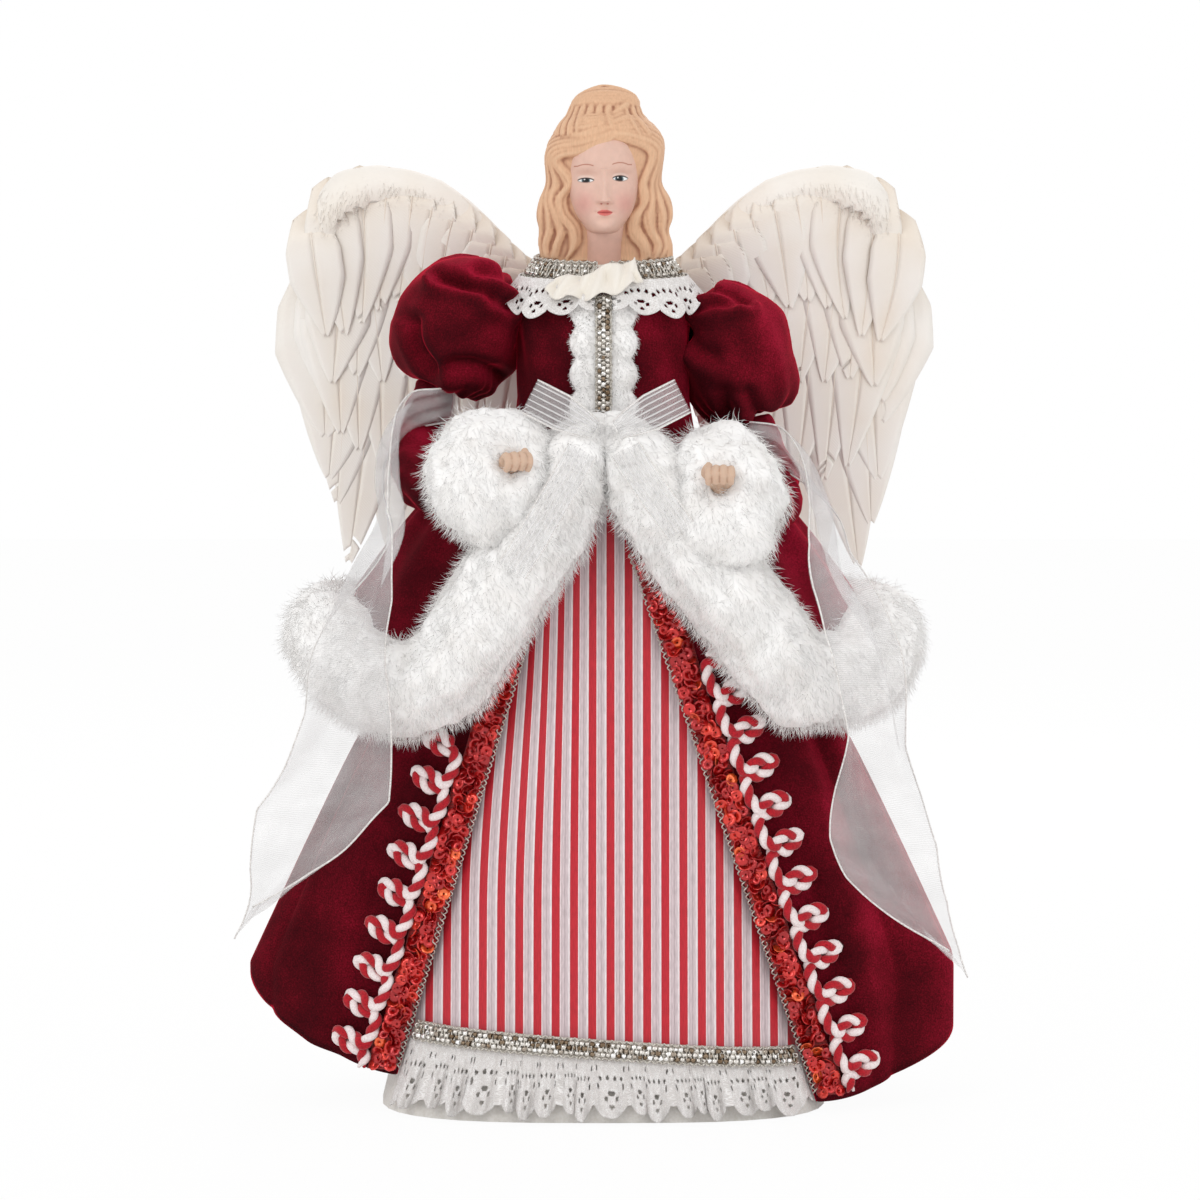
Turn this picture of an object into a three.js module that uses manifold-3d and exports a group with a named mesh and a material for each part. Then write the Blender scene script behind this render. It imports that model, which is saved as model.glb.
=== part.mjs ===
// An angel tree topper: a doll with a cast head and hands, dressed in velvet, fake fur, satin and lace
// over an open cardboard cone that slides down over the tip of a tree, with two feather wings on bent wire.
// Millimetres, +Z up. The angel faces -Y. The origin is the centre of the cone's rim, on which it stands.
import * as THREE from "three";
import { mergeVertices } from "three/addons/utils/BufferGeometryUtils.js";
import Module from "manifold-3d";

const { lerp, clamp, degToRad } = THREE.MathUtils;
const wasm = await Module();
wasm.setup();

// Clearances and stock thicknesses
const FIT = 0.3; // the gap that pieces keep where they touch
const CARD = 1.6; // cardboard of the cone
const SATIN = 1.1; // striped satin on its backing
const VELVET = 1.8; // velvet with its lining
const LACE = 0.9;
const RIBBON = 0.8; // organza with its wired edge
const WIRE_RADIUS = 1.3; // armature wire in the arms and wings

// The cardboard cone is an oval with a flattened front
const CONE_HEIGHT = 262;
const CONE_BASE_HALF_WIDTH = 89;
const CONE_BASE_HALF_DEPTH = 62;
const CONE_TOP_HALF_WIDTH = 26;
const CONE_TOP_HALF_DEPTH = 20;
const CONE_OVAL_POWER = 3; // 2 is an ellipse, and more is squarer

// Satin panel, its beaded braid and its lace ruffle, cut a little out of level
const PANEL_TOP_DROP = 5; // below the top of the cone
const PANEL_HEM = 25;
const PANEL_HALF_ANGLE = degToRad(82);
const HEM_SLANT_SHARE = 0.065; // how much the hem falls for each millimetre to the right
const HEM_EDGE_GAP = 0.6; // the hem's trims stop this far short of the robe
const HEM_BRAID_HEIGHT = 7.5;
const HEM_BRAID_THICKNESS = 2.4;
const HEM_LACE_RISE = 4; // how far the lace's heading goes up under the braid
const HEM_LACE_FOOT = 4.2; // height of the lace's points at the middle
const HEM_LACE_SLANT_SHARE = 0.035;
const HEM_LACE_FLARE = 5.5; // how far the ruffle's waves stand out
const HEM_LACE_WAVES = 11;
const HEM_LACE_POINT = 2.6; // depth of the scallops

// Long velvet robe, open at the front
const ROBE_TOP_DROP = 22; // below the top of the cone
const ROBE_TOP = CONE_HEIGHT - ROBE_TOP_DROP;
const ROBE_TOP_HALF_WIDTH = 36;
const ROBE_TOP_HALF_DEPTH = 27.5;
const ROBE_HEM_HALF_WIDTH = 132;
const ROBE_HEM_HALF_DEPTH = 70;
const ROBE_FLARE_POWER = 0.86;
const ROBE_FRONT_HEM = 9.5;
const ROBE_SIDE_HEM = 56;
const ROBE_BACK_HEM = 26;
const ROBE_HEM_POWER = 1.7;
const ROBE_FOLDS = 10;
const ROBE_FOLD_DEPTH = 7;
const ROBE_PLAIN = 24; // width of the flat stretch beside each front edge, where the trims are sewn
const ROBE_EDGES = {
  // how far each front edge stands from the middle, at the hem and at the top
  left: { low: 83, high: 13, side: -1 },
  right: { low: 82, high: 4, side: 1 },
};

// Trims on the front edges of the robe: a sequin braid, and a red and white twisted cord that throws out
// loops
const SEQUIN_BRAID_WIDTH = 11;
const SEQUIN_BRAID_THICKNESS = 2.6;
const SEQUIN_BRAID_FOOT = { left: 17, right: 7 };
const SEQUIN_BRAID_HEAD = { left: 190, right: 222 };
const CORD_RADIUS = 2.1;
const CORD_LOOPS = { left: 9, right: 12 };
const CORD_PITCH = 14.8;
const CORD_LOOP_REACH = 11.5; // how far a loop stands out from the line of the cord
const CORD_LEG_GAP = 0.9; // space between the two legs of a loop
const CORD_LOOP_SHARES = [
  // one loop of the cord: place along the edge as a share of half a loop's width, and reach out
  [-1.05, 0.2],
  [-1.14, 0.62],
  [0, 1],
  [1.14, 0.62],
  [1.05, 0.2],
];
const CORD_LOOP_RISE_SHARE = 0.42; // how far a loop rises for each millimetre out
const CORD_FOOT = { left: 25, right: 15.5 }; // height of the lowest loop

// Velvet peplum with a cutaway front, bound in fur
const WAIST = CONE_HEIGHT;
const PEPLUM_RISE = 4; // how far its top edge goes up over the bodice
const PEPLUM_TOP_HALF_WIDTH = 30.5;
const PEPLUM_TOP_HALF_DEPTH = 24;
const PEPLUM_HEM_HALF_WIDTH = 107;
const PEPLUM_HEM_HALF_DEPTH = 58;
const PEPLUM_LENGTH = 74; // from the waist to the hem at the side
const PEPLUM_FRONT_DIP = 27; // how much lower the front corners hang
const PEPLUM_FLARE_POWER = 0.66;
const PEPLUM_TOP_ANGLE = degToRad(9);
const PEPLUM_CORNER_ANGLES = { left: degToRad(42), right: degToRad(52) };
const PEPLUM_SIDE_ANGLE = degToRad(84);
const PEPLUM_VELVET_SHARE = 0.81; // share of the way down that shows above the fur
const FUR_RADIUS = 17.5;
const FUR_WAIST_RADIUS = 14.5;
const FUR_WAIST_STANDOFF = 10; // the fur's core stands this far in front of the velvet at the waist
const FUR_HEAD_RISE = 5; // how far it reaches up the bodice
const FUR_HEM_STANDOFF = 2.5;
const FUR_SEAM = 1; // half the gap between the two furs where they meet

// Body form, bodice and its trims
const BODY_OVAL_POWER = 2.3;
const TORSO_HEIGHT = 72;
const TORSO_HALF_WIDTH = 32;
const TORSO_HALF_DEPTH = 24;
const TORSO_PLUG = 12; // length that plugs the top of the cone
const TORSO_SHARES = [
  // height, half width, half depth, as shares of the torso's
  [0, 0.86, 0.88],
  [0.28, 0.88, 0.9],
  [0.58, 1, 1],
  [0.8, 1.02, 0.9],
  [0.93, 0.8, 0.72],
  [1, 0.56, 0.56],
];
const BODICE_FOOT_SHARE = 0.03;
const BODICE_TOP_SHARE = 0.985;
const PLACKET_WIDTH = 27;
const PLACKET_HEIGHT = 50;
const PLACKET_THICKNESS = 3;
const PLACKET_SCALLOPS = 4;
const PLACKET_SCALLOP_DEPTH = 2.6;
const PLACKET_FOOT_SHARE = 0.14;
const BEAD_STRIP_WIDTH = 6.4;
const BEAD_STRIP_THICKNESS = 1.2;
const BEAD_RADIUS = 1.5;
const BEAD_ROWS = 13;
const COLLAR_HALF_WIDTH = 31;
const COLLAR_HALF_DEPTH = 21;
const COLLAR_TOP_HALF_WIDTH = 26;
const COLLAR_TOP_HALF_DEPTH = 17.5;
const COLLAR_BRAID_HEIGHT = 8;
const COLLAR_BRAID_THICKNESS = 2.2;
const COLLAR_RISE = 70; // height of the collar braid's lower edge above the waist
const COLLAR_DIP = 4.5; // how much lower the collar is at the front
const COLLAR_LACE_REACH = 8;
const COLLAR_LACE_DROP = 11;
const COLLAR_LACE_WAVES = 10;
const COLLAR_LACE_FLARE = 1.5;
const COLLAR_GAP_ANGLE = degToRad(12);

// Cast head with its moulded hair, on a neck that seats in the body form
const NECK_LENGTH = 12.7; // from the top of the body form to the chin
const CHIN = CONE_HEIGHT + FIT + TORSO_HEIGHT + NECK_LENGTH;
const HAIR_RISE = 59; // from the chin to the top of the bun
const HAIR_FALL = 11; // from the chin to the ends of the locks
const FACE_HALF_WIDTH = 14.6;
const FACE_HALF_DEPTH = 16.5;
const FACE_HEIGHT = 36; // chin to hairline
const NECK_RADIUS = 8.6;
const NECK_PEG = 12; // length that goes down into the body form
const NECK_LEAN = 2; // how far the face stands forward of the neck
const HAIR_HALF_WIDTH = 22;
const HAIR_HALF_DEPTH = 20;
const HAIR_FOOT = CHIN - HAIR_FALL;
const HAIR_SHARES = [
  // height up the hair, half width, half depth and distance back, as shares of its height, width and depth
  [0, 1.16, 0.62, 0.42],
  [0.14, 1.13, 0.66, 0.4],
  [0.32, 1.16, 0.74, 0.34],
  [0.46, 0.96, 0.86, 0.26],
  [0.6, 1.02, 0.98, 0.18],
  [0.73, 0.9, 1.02, 0.16],
  [0.83, 0.62, 0.9, 0.2],
  [0.885, 0.62, 0.7, 0.24],
  [0.95, 0.56, 0.6, 0.26],
  [1, 0.2, 0.24, 0.28],
];
const HAIR_WAVES = 11;
const HAIR_WAVE_SHARE = 0.045;

// Arms: the wire runs from the shoulder through the elbow to the wrist. Heights are from the waist.
const ARMS = {
  left: {
    shoulder: [-27, 3, 60],
    puffTop: [-37, 4, 65],
    puffMiddle: [-56, 5, 48],
    puffFoot: [-67, 6, 25],
    elbow: [-74, 3, 2],
    forearm: [-70, -21, -14],
    wrist: [-41, -44, -12],
    knuckles: [-31.5, -70, -1],
  },
  right: {
    shoulder: [27, 3, 54],
    puffTop: [36, 4, 59],
    puffMiddle: [51, 5, 38],
    puffFoot: [60, 6, 11],
    elbow: [67, 3, -12],
    forearm: [66, -21, -24],
    wrist: [46, -44, -19],
    knuckles: [44.5, -70, -6],
  },
};
const PUFF_RADIUS = { left: 28, right: 26 };
const PUFF_PLEATS = 8;
const PUFF_PLEAT_SHARE = 0.05;
const SLEEVE_RADIUS = 11.5;
const SLEEVE_HEAD_RADIUS = 7.5;
const SLEEVE_WRIST_RADIUS = 8.5;
const CUFFS = {
  left: { halfWidth: 28, halfHeight: 27, halfLength: 17 },
  right: { halfWidth: 22.5, halfHeight: 30, halfLength: 17 },
};
const CUFF_MOUTH_RADIUS = 6.6;
const HAND_WIDTH = 11.5;
const HAND_THICKNESS = 7.5;
const HAND_LENGTH = 16;
const HAND_START = 8; // distance from the wrist's seam to the heel of the hand
const FINGERS = 4;
const FINGER_RADIUS = 1.6;
const FINGER_LENGTH = 8;
const WIRE_IN_HAND = 14;

// Wings on a card plate at the back
const PLATE_HALF_WIDTH = 19;
const PLATE_DEPTH = 30.4; // how far its flat back face stands behind the middle of the body
const PLATE_HEIGHT = 38;
const PLATE_RISE = 16; // above the waist
const PLATE_FOOT = WAIST + PLATE_RISE;
const WING_ROOT_X = 11;
const WING_ROOT_Y = 33;
const SOCKET_RADIUS = 3.4;
const SOCKET_RISE = 11; // above the foot of the plate
const SOCKET_FOOT = PLATE_FOOT + SOCKET_RISE;
const SOCKET_HEIGHT = 22;
const WING_ROOT_RISE = 7; // above the sockets
const WING_ROOT_Z = SOCKET_FOOT + SOCKET_HEIGHT + WING_ROOT_RISE;
const WING_SWEEP_SHARE = 0.24; // how far back the wing goes for each millimetre out
const WING_LEAN_SHARE = 0.15; // and for each millimetre down
const WING_RIDGE = [
  // the wire's way out along the top of the wing: distance from the middle, and height above the waist
  [17, 60],
  [28, 66],
  [42, 77],
  [54, 89],
  [67, 99],
  [83, 104.5],
  [98, 103],
  [108, 95],
  [111.5, 81],
  [111, 63],
];
const WING_DOWN_RADIUS = 9;
const FEATHER_THICKNESS = 1;
const FEATHER_SHINGLE = 1.3; // how far each feather's edge stands over the next
const FEATHER_BOW = 3;
const FEATHER_NOTCH_SHARE = 0.2;
const ROWS_END_SHARE = 0.97; // of the wire's length
const FEATHER_ROWS = {
  // where along the wire a row starts, how far forward it lies, and the distances and heights of its tips
  primaries: {
    count: 8,
    from: 0.32,
    layer: -2.4,
    tips: [[48, -16], [66, -48], [84, -57], [104, -55], [113, -30], [116, 0], [119, 34]],
  },
  secondaries: {
    count: 7,
    from: 0.26,
    layer: 0.6,
    tips: [[36, 10], [56, -10], [76, -16], [95, -6], [107, 16], [115, 43]],
  },
  coverts: {
    count: 7,
    from: 0.2,
    layer: 3.6,
    tips: [[29, 40], [46, 30], [64, 32], [84, 40], [100, 46], [113, 56]],
  },
};

// Organza bow at the waist, and the two scarves that hang from the elbows
const BOW_X = 1;
const BOW_RISE = 6; // height of the knot above the waist
const BOW_STANDOFF = 44.5; // how far the knot stands in front of the body's middle
const BOW_KNOT_RADIUS = 4.4;
const BOW_KNOT_LENGTH = 11;
const BOW_RISE_ANGLE = degToRad(27);
const BOW_LOOP_LENGTH = 33;
const BOW_LOOP_DEPTH = 4.6;
const BOW_WIDTH = 14;
const BOW_PINCH_SHARE = 0.5; // width of the ribbon where the knot pinches it
const BOW_TAIL_WIDTH = 12;
const BOW_TAIL_SHARES = { left: [0.035, 0.2], right: [0.035, 0.155] }; // of the fur's length
const SCARVES = {
  // places with heights from the waist, each with the half width there
  left: [
    [-58, -2, 17, 1, -3, 7],
    [-66, -9, 16, 0, -4, 8],
    [-76, -10, 14, 3, -5, 8],
    [-84, -18, 5, 4, -7, 5],
    [-86, -34, -12, 4, -9, 3],
    [-84, -50, -31, 9, -7, 4],
    [-92, -63, -56, 13, -6, 3],
    [-99, -67, -78, 14, -6, 2],
    [-100, -66, -102, 14, -7, 2],
    [-104, -62, -124, 20, -6, 3],
    [-113, -61, -146, 26, -5, 2],
    [-120, -57, -164, 22, -8, 8],
    [-130, -54, -176, 14, -8, 9],
    [-141, -50, -185, 4, -5, 7],
  ],
  right: [
    [53, -2, 3, -1, -3, 7],
    [60, -9, 2, 0, -4, 8],
    [70, -10, 0, -3, -5, 8],
    [80, -18, -9, -4, -7, 5],
    [86, -34, -24, -4, -9, 4],
    [88, -50, -40, -10, -7, 5],
    [97, -62, -62, -14, -6, 3],
    [103, -66, -84, -14, -6, 0],
    [105, -66, -106, -14, -7, 4],
    [107, -62, -128, -18, -6, 3],
    [108, -61, -148, -21, -5, 2],
    [113, -59, -168, -20, -8, 6],
    [124, -56, -186, -14, -8, 8],
    [139, -52, -201, -4, -5, 6],
  ],
};
const SCARF_RUFFLE = 2.6;
const SCARF_STEPS = 22;

// Facets
const AROUND_STEPS = 36;

const at = (p) => new THREE.Vector3(...p);
const fromWaist = ([x, y, z]) => new THREE.Vector3(x, y, WAIST + z);
const through = (points) => new THREE.CatmullRomCurve3(points.map((p) => (Array.isArray(p) ? at(p) : p)));
const ramp = (x, from, to) => {
  const t = clamp((x - from) / (to - from), 0, 1);
  return t * t * (3 - 2 * t);
};

// A closed body from grids of points. Its faces are turned outwards whichever way the grid runs.
function closedBody(points, faces) {
  let volume = 0;
  for (const [a, b, c] of faces) volume += points[a].dot(points[b].clone().cross(points[c]));
  const index = faces.flatMap(([a, b, c]) => (volume > 0 ? [a, b, c] : [a, c, b]));
  const geometry = new THREE.BufferGeometry().setFromPoints(points);
  return geometry.setIndex(index);
}

// A body through rings of points, each end closed by a fan
function loft(rings) {
  const sides = rings[0].length;
  const points = rings.flat();
  const faces = [];
  for (let r = 0; r + 1 < rings.length; r++)
    for (let s = 0; s < sides; s++) {
      const a = r * sides + s;
      const b = r * sides + ((s + 1) % sides);
      faces.push([a, b, b + sides], [a, b + sides, a + sides]);
    }
  for (const [r, turned] of [[0, true], [rings.length - 1, false]]) {
    const middle = points.length;
    points.push(rings[r].reduce((sum, p) => sum.add(p), new THREE.Vector3()).divideScalar(sides));
    for (let s = 0; s < sides; s++) {
      const a = r * sides + s;
      const b = r * sides + ((s + 1) % sides);
      faces.push(turned ? [b, a, middle] : [a, b, middle]);
    }
  }
  return closedBody(points, faces);
}

// A sheet of real thickness: two faces, each a function of u and v from 0 to 1, and the edges between them
function sheet(columns, rows, outer, inner, closed = false) {
  const wide = closed ? columns : columns + 1;
  const points = [];
  for (const face of [outer, inner])
    for (let r = 0; r <= rows; r++) for (let c = 0; c < wide; c++) points.push(face(c / columns, r / rows));
  const back = wide * (rows + 1);
  const faces = [];
  const quad = (a, b, c, d) => faces.push([a, b, c], [a, c, d]);
  const next = (c) => (closed ? (c + 1) % wide : c + 1);
  for (let c = 0; c < columns; c++) {
    for (let r = 0; r < rows; r++) {
      const [a, b] = [r * wide + c, r * wide + next(c)];
      quad(a, b, b + wide, a + wide);
      quad(back + b, back + a, back + a + wide, back + b + wide);
    }
    const last = rows * wide;
    quad(next(c), c, back + c, back + next(c));
    quad(last + c, last + next(c), back + last + next(c), back + last + c);
  }
  if (!closed)
    for (let r = 0; r < rows; r++) {
      const [a, b] = [r * wide, r * wide + columns];
      quad(a, a + wide, back + a + wide, back + a);
      quad(b + wide, b, back + b, back + b + wide);
    }
  return closedBody(points, faces);
}

// A round body that swells along a curve
function sweep(curve, steps, sides, radius) {
  const frames = curve.computeFrenetFrames(steps, false);
  const rings = [];
  for (let i = 0; i <= steps; i++) {
    const t = i / steps;
    const middle = curve.getPointAt(t);
    const ring = [];
    for (let s = 0; s < sides; s++) {
      const angle = (2 * Math.PI * s) / sides;
      const r = radius(t, angle);
      ring.push(
        middle
          .clone()
          .addScaledVector(frames.normals[i], r * Math.cos(angle))
          .addScaledVector(frames.binormals[i], r * Math.sin(angle)),
      );
    }
    rings.push(ring);
  }
  return loft(rings);
}

// A wire or other even tube along a curve
function tube(curve, radius, steps, sides = 6) {
  const section = new THREE.Shape().absarc(0, 0, radius, 0, 2 * Math.PI, false);
  return new THREE.ExtrudeGeometry(section, { extrudePath: curve, steps, curveSegments: sides / 2 });
}

// The least gap between turns of a tube, among points further apart along it than its tightest bend is long
function leastGap(curve, radius) {
  const length = curve.getLength();
  const places = curve.getSpacedPoints(Math.ceil((4 * length) / radius));
  const apart = Math.ceil((4.5 * radius * places.length) / length);
  let least = length;
  for (let i = 0; i < places.length; i++)
    for (let j = i + apart; j < places.length; j++) {
      least = Math.min(least, places[i].distanceTo(places[j]));
    }
  return least - 2 * radius;
}

const ball = (radius, steps) => new THREE.SphereGeometry(radius, steps, Math.ceil(steps / 2));

// Geometry to a solid that can be joined and cut, and back
function solid(geometry) {
  const bare = geometry.clone();
  bare.deleteAttribute("normal");
  bare.deleteAttribute("uv");
  const merged = mergeVertices(bare, FIT / 300);
  return new wasm.Manifold(
    new wasm.Mesh({
      numProp: 3,
      vertProperties: merged.attributes.position.array,
      triVerts: new Uint32Array(merged.index.array),
    }),
  );
}
const carve = (body, ...cutters) => cutters.reduce((left, cutter) => left.subtract(cutter), body);
function geometryOf(body) {
  const mesh = body.getMesh();
  const geometry = new THREE.BufferGeometry();
  geometry.setAttribute("position", new THREE.BufferAttribute(mesh.vertProperties, 3));
  geometry.setIndex(new THREE.BufferAttribute(mesh.triVerts, 1));
  return geometry;
}
// Only the largest piece that a cut leaves: the slivers beyond are trimmed off
function largest(body) {
  return body.decompose().sort((a, b) => b.volume() - a.volume())[0];
}

const angel = new THREE.Group();
function add(name, body, finish) {
  const mesh = new THREE.Mesh(body.isBufferGeometry ? body : geometryOf(body), finish);
  mesh.name = name;
  angel.add(mesh);
}
const finish = (color, roughness, metalness = 0) =>
  new THREE.MeshStandardMaterial({ color, roughness, metalness });
const FINISHES = {
  card: finish("#ece8e0", 0.9),
  satin: finish("#c9434d", 0.4),
  velvet: finish("#6d0618", 0.8),
  fur: finish("#ece6e1", 1),
  lace: finish("#e8e4e1", 0.9),
  silver: finish("#a9a29a", 0.3, 0.8),
  sequins: finish("#b3201f", 0.25, 0.3),
  cord: finish("#d8a0a3", 0.7),
  resin: finish("#dcb39c", 0.5),
  foam: finish("#efe9dc", 0.9),
  wire: finish("#8c8f92", 0.4, 0.9),
  feather: finish("#e6dcd3", 0.95),
  organza: finish("#d9d6d6", 0.5),
};

// The oval of the cone at an angle from the front, which is 0, to the right, which is a quarter turn
function oval(halfWidth, halfDepth, angle, power) {
  const [s, c] = [Math.sin(angle), Math.cos(angle)];
  const flat = 2 / power;
  return [halfWidth * Math.sign(s) * Math.abs(s) ** flat, -halfDepth * Math.sign(c) * Math.abs(c) ** flat];
}
const coneHalfWidth = (z) => lerp(CONE_BASE_HALF_WIDTH, CONE_TOP_HALF_WIDTH, z / CONE_HEIGHT);
const coneHalfDepth = (z) => lerp(CONE_BASE_HALF_DEPTH, CONE_TOP_HALF_DEPTH, z / CONE_HEIGHT);
function onCone(angle, z, out) {
  const [x, y] = oval(coneHalfWidth(z) + out, coneHalfDepth(z) + out, angle, CONE_OVAL_POWER);
  return new THREE.Vector3(x, y, z);
}
// The same surface at a distance from the middle, on the front
function onConeAt(x, z, out) {
  const share = clamp(Math.abs(x) / (coneHalfWidth(z) + out), 0, 1);
  return onCone(Math.sign(x) * Math.asin(share ** (CONE_OVAL_POWER / 2)), z, out);
}
const PANEL_OUT = FIT + SATIN;
const HEADING_OUT = PANEL_OUT + FIT + LACE;
const edgeDistance = (edge, z) =>
  lerp(edge.low, edge.high, (z - ROBE_FRONT_HEM) / (ROBE_TOP - ROBE_FRONT_HEM));

// Cardboard cone, open at its rim for the tree and at its top for the body's plug
const coneFace = (out) => (u, v) => onCone(2 * Math.PI * u, CONE_HEIGHT * v, out);
add("cone_form", sheet(AROUND_STEPS, 2, coneFace(0), coneFace(-CARD), true), FINISHES.card);

// Striped satin panel over the front of the cone
const slantedHem = (x) => PANEL_HEM - HEM_SLANT_SHARE * x;
function panelFace(out) {
  return (u, v) => {
    const angle = lerp(-PANEL_HALF_ANGLE, PANEL_HALF_ANGLE, u);
    const foot = slantedHem(onCone(angle, PANEL_HEM, out).x);
    return onCone(angle, lerp(foot, CONE_HEIGHT - PANEL_TOP_DROP, v), out);
  };
}
const PANEL_STEPS = 16;
const panel = sheet(PANEL_STEPS, 2, panelFace(PANEL_OUT), panelFace(FIT));
add("striped_panel", panel, FINISHES.satin);

// The hem's trims run from one front edge of the robe to the other
function hemPlace(u, z) {
  const reach = (edge) => edge.side * (edgeDistance(edge, z) - HEM_EDGE_GAP);
  return lerp(reach(ROBE_EDGES.left), reach(ROBE_EDGES.right), u);
}

// Lace ruffle: its heading lies flat under the braid, and its waves deepen towards the scalloped edge
function laceFace(out) {
  return (u, v) => {
    const heading = slantedHem(hemPlace(u, PANEL_HEM)) + HEM_LACE_RISE;
    const point = HEM_LACE_POINT * Math.abs(Math.cos(Math.PI * HEM_LACE_WAVES * u));
    const foot = HEM_LACE_FOOT - HEM_LACE_SLANT_SHARE * hemPlace(u, HEM_LACE_FOOT) + HEM_LACE_POINT - point;
    const z = lerp(heading, foot, v);
    const ends = ramp(u, 0, 0.04) * ramp(1 - u, 0, 0.04);
    const wave = 0.6 + 0.4 * Math.cos(2 * Math.PI * HEM_LACE_WAVES * u);
    return onConeAt(hemPlace(u, z), z, out + ends * ramp(v, 0.2, 1) * HEM_LACE_FLARE * wave);
  };
}
const LACE_STEPS = 4 * HEM_LACE_WAVES;
add("hem_lace", sheet(LACE_STEPS, 3, laceFace(HEADING_OUT), laceFace(HEADING_OUT - LACE)), FINISHES.lace);

// Beaded silver braid that covers the seam of the lace
function hemBraidFace(out) {
  return (u, v) => {
    const z = slantedHem(hemPlace(u, PANEL_HEM)) + v * HEM_BRAID_HEIGHT;
    return onConeAt(hemPlace(u, z), z, out);
  };
}
const BRAID_OUT = HEADING_OUT + 2 * FIT;
const hemBraid = sheet(22, 1, hemBraidFace(BRAID_OUT + HEM_BRAID_THICKNESS), hemBraidFace(BRAID_OUT));
add("hem_braid", hemBraid, FINISHES.silver);

// The robe's cross-section is an ellipse at the hem and as square as the cone at the top. In front it meets
// the panel at the robe's edge, and behind it has a depth of its own.
const robeDrop = (z) => clamp((ROBE_TOP - z) / (ROBE_TOP - ROBE_SIDE_HEM), 0, 1);
const robeHalfWidth = (z) =>
  lerp(ROBE_TOP_HALF_WIDTH, ROBE_HEM_HALF_WIDTH, robeDrop(z) ** ROBE_FLARE_POWER);
const robeBackDepth = (z) => lerp(ROBE_TOP_HALF_DEPTH, ROBE_HEM_HALF_DEPTH, robeDrop(z));
const robePower = (z) => lerp(CONE_OVAL_POWER, 2, robeDrop(z));
const robeAngle = (x, z) => Math.asin(clamp(x / robeHalfWidth(z), 0, 1) ** (robePower(z) / 2));
const ROBE_IN = PANEL_OUT + 3 * FIT;
function robeFrontDepth(edge, z) {
  const x = edgeDistance(edge, z);
  const meeting = -onConeAt(x, z, ROBE_IN).y;
  return meeting / (1 - (x / robeHalfWidth(z)) ** robePower(z)) ** (1 / robePower(z));
}
function robeHem(side, angle, edgeAngle) {
  const toSide = clamp((angle - edgeAngle) / (Math.PI / 2 - edgeAngle), 0, 1) ** ROBE_HEM_POWER;
  const toBack = ramp(angle, Math.PI / 2, Math.PI);
  const level = lerp(lerp(ROBE_FRONT_HEM, ROBE_SIDE_HEM, toSide), ROBE_BACK_HEM, toBack);
  const x = side * Math.sin(angle) * robeHalfWidth(level);
  return level - HEM_SLANT_SHARE * x * (1 - toSide / 2);
}
// A point of the robe: angle from the front towards its side, height, and distance out from the lining
function onRobe(edge, angle, z, out) {
  const depth = Math.cos(angle) > 0 ? robeFrontDepth(edge, z) : robeBackDepth(z);
  const w = robeHalfWidth(z);
  const beside = w * (angle < Math.PI / 2 ? Math.sin(angle) : 1) - edgeDistance(edge, z);
  const loose = ramp(beside, ROBE_PLAIN, 2 * ROBE_PLAIN) + ramp(angle, Math.PI / 2, Math.PI / 1.5);
  const wave = (1 + Math.cos(ROBE_FOLDS * angle)) / 2;
  const fold = Math.min(loose, 1) * robeDrop(z) * ROBE_FOLD_DEPTH * wave;
  const [x, y] = oval(w + out + fold, depth + out + fold, angle, robePower(z));
  return new THREE.Vector3(edge.side * x, y, z);
}
function robeFace(out) {
  return (u, v) => {
    const edge = u < 0.5 ? ROBE_EDGES.right : ROBE_EDGES.left;
    const share = 1 - Math.abs(2 * u - 1);
    const edgeAngle = (z) => robeAngle(edgeDistance(edge, z), z);
    const low = edgeAngle(ROBE_FRONT_HEM);
    const foot = robeHem(edge.side, lerp(low, Math.PI, share), low);
    const z = lerp(ROBE_TOP, foot, v);
    return onRobe(edge, lerp(edgeAngle(z), Math.PI, share), z, out);
  };
}
const ROBE_STEPS = 46;
const ROBE_ROWS = 5;
add("velvet_robe", sheet(ROBE_STEPS, ROBE_ROWS, robeFace(VELVET), robeFace(0)), FINISHES.velvet);

// A point beside the robe's front edge, a distance along the cloth from the edge and a height off its face
function besideEdge(edge, z, beside, lift) {
  return onRobe(edge, robeAngle(edgeDistance(edge, z) + beside, z), z, VELVET + lift);
}

// The bell of the peplum, from the waist to the hem
const SIDES = { left: -1, right: 1 };
const handOf = (side) => (side < 0 ? "left" : "right");
function peplumHem(hand, angle) {
  const dip = 1 - ramp(angle, PEPLUM_CORNER_ANGLES[hand], PEPLUM_SIDE_ANGLE);
  return WAIST - PEPLUM_LENGTH - PEPLUM_FRONT_DIP * dip;
}
function onPeplum(hand, angle, v, out) {
  const flare = v ** PEPLUM_FLARE_POWER;
  const w = lerp(PEPLUM_TOP_HALF_WIDTH, PEPLUM_HEM_HALF_WIDTH, flare) + out;
  const d = lerp(PEPLUM_TOP_HALF_DEPTH, PEPLUM_HEM_HALF_DEPTH, flare) + out;
  const z = lerp(WAIST + PEPLUM_RISE, peplumHem(hand, angle), v);
  return new THREE.Vector3(SIDES[hand] * w * Math.sin(angle), -d * Math.cos(angle), z);
}
const peplumEdge = (hand, v) => lerp(PEPLUM_TOP_ANGLE, PEPLUM_CORNER_ANGLES[hand], v);
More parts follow.
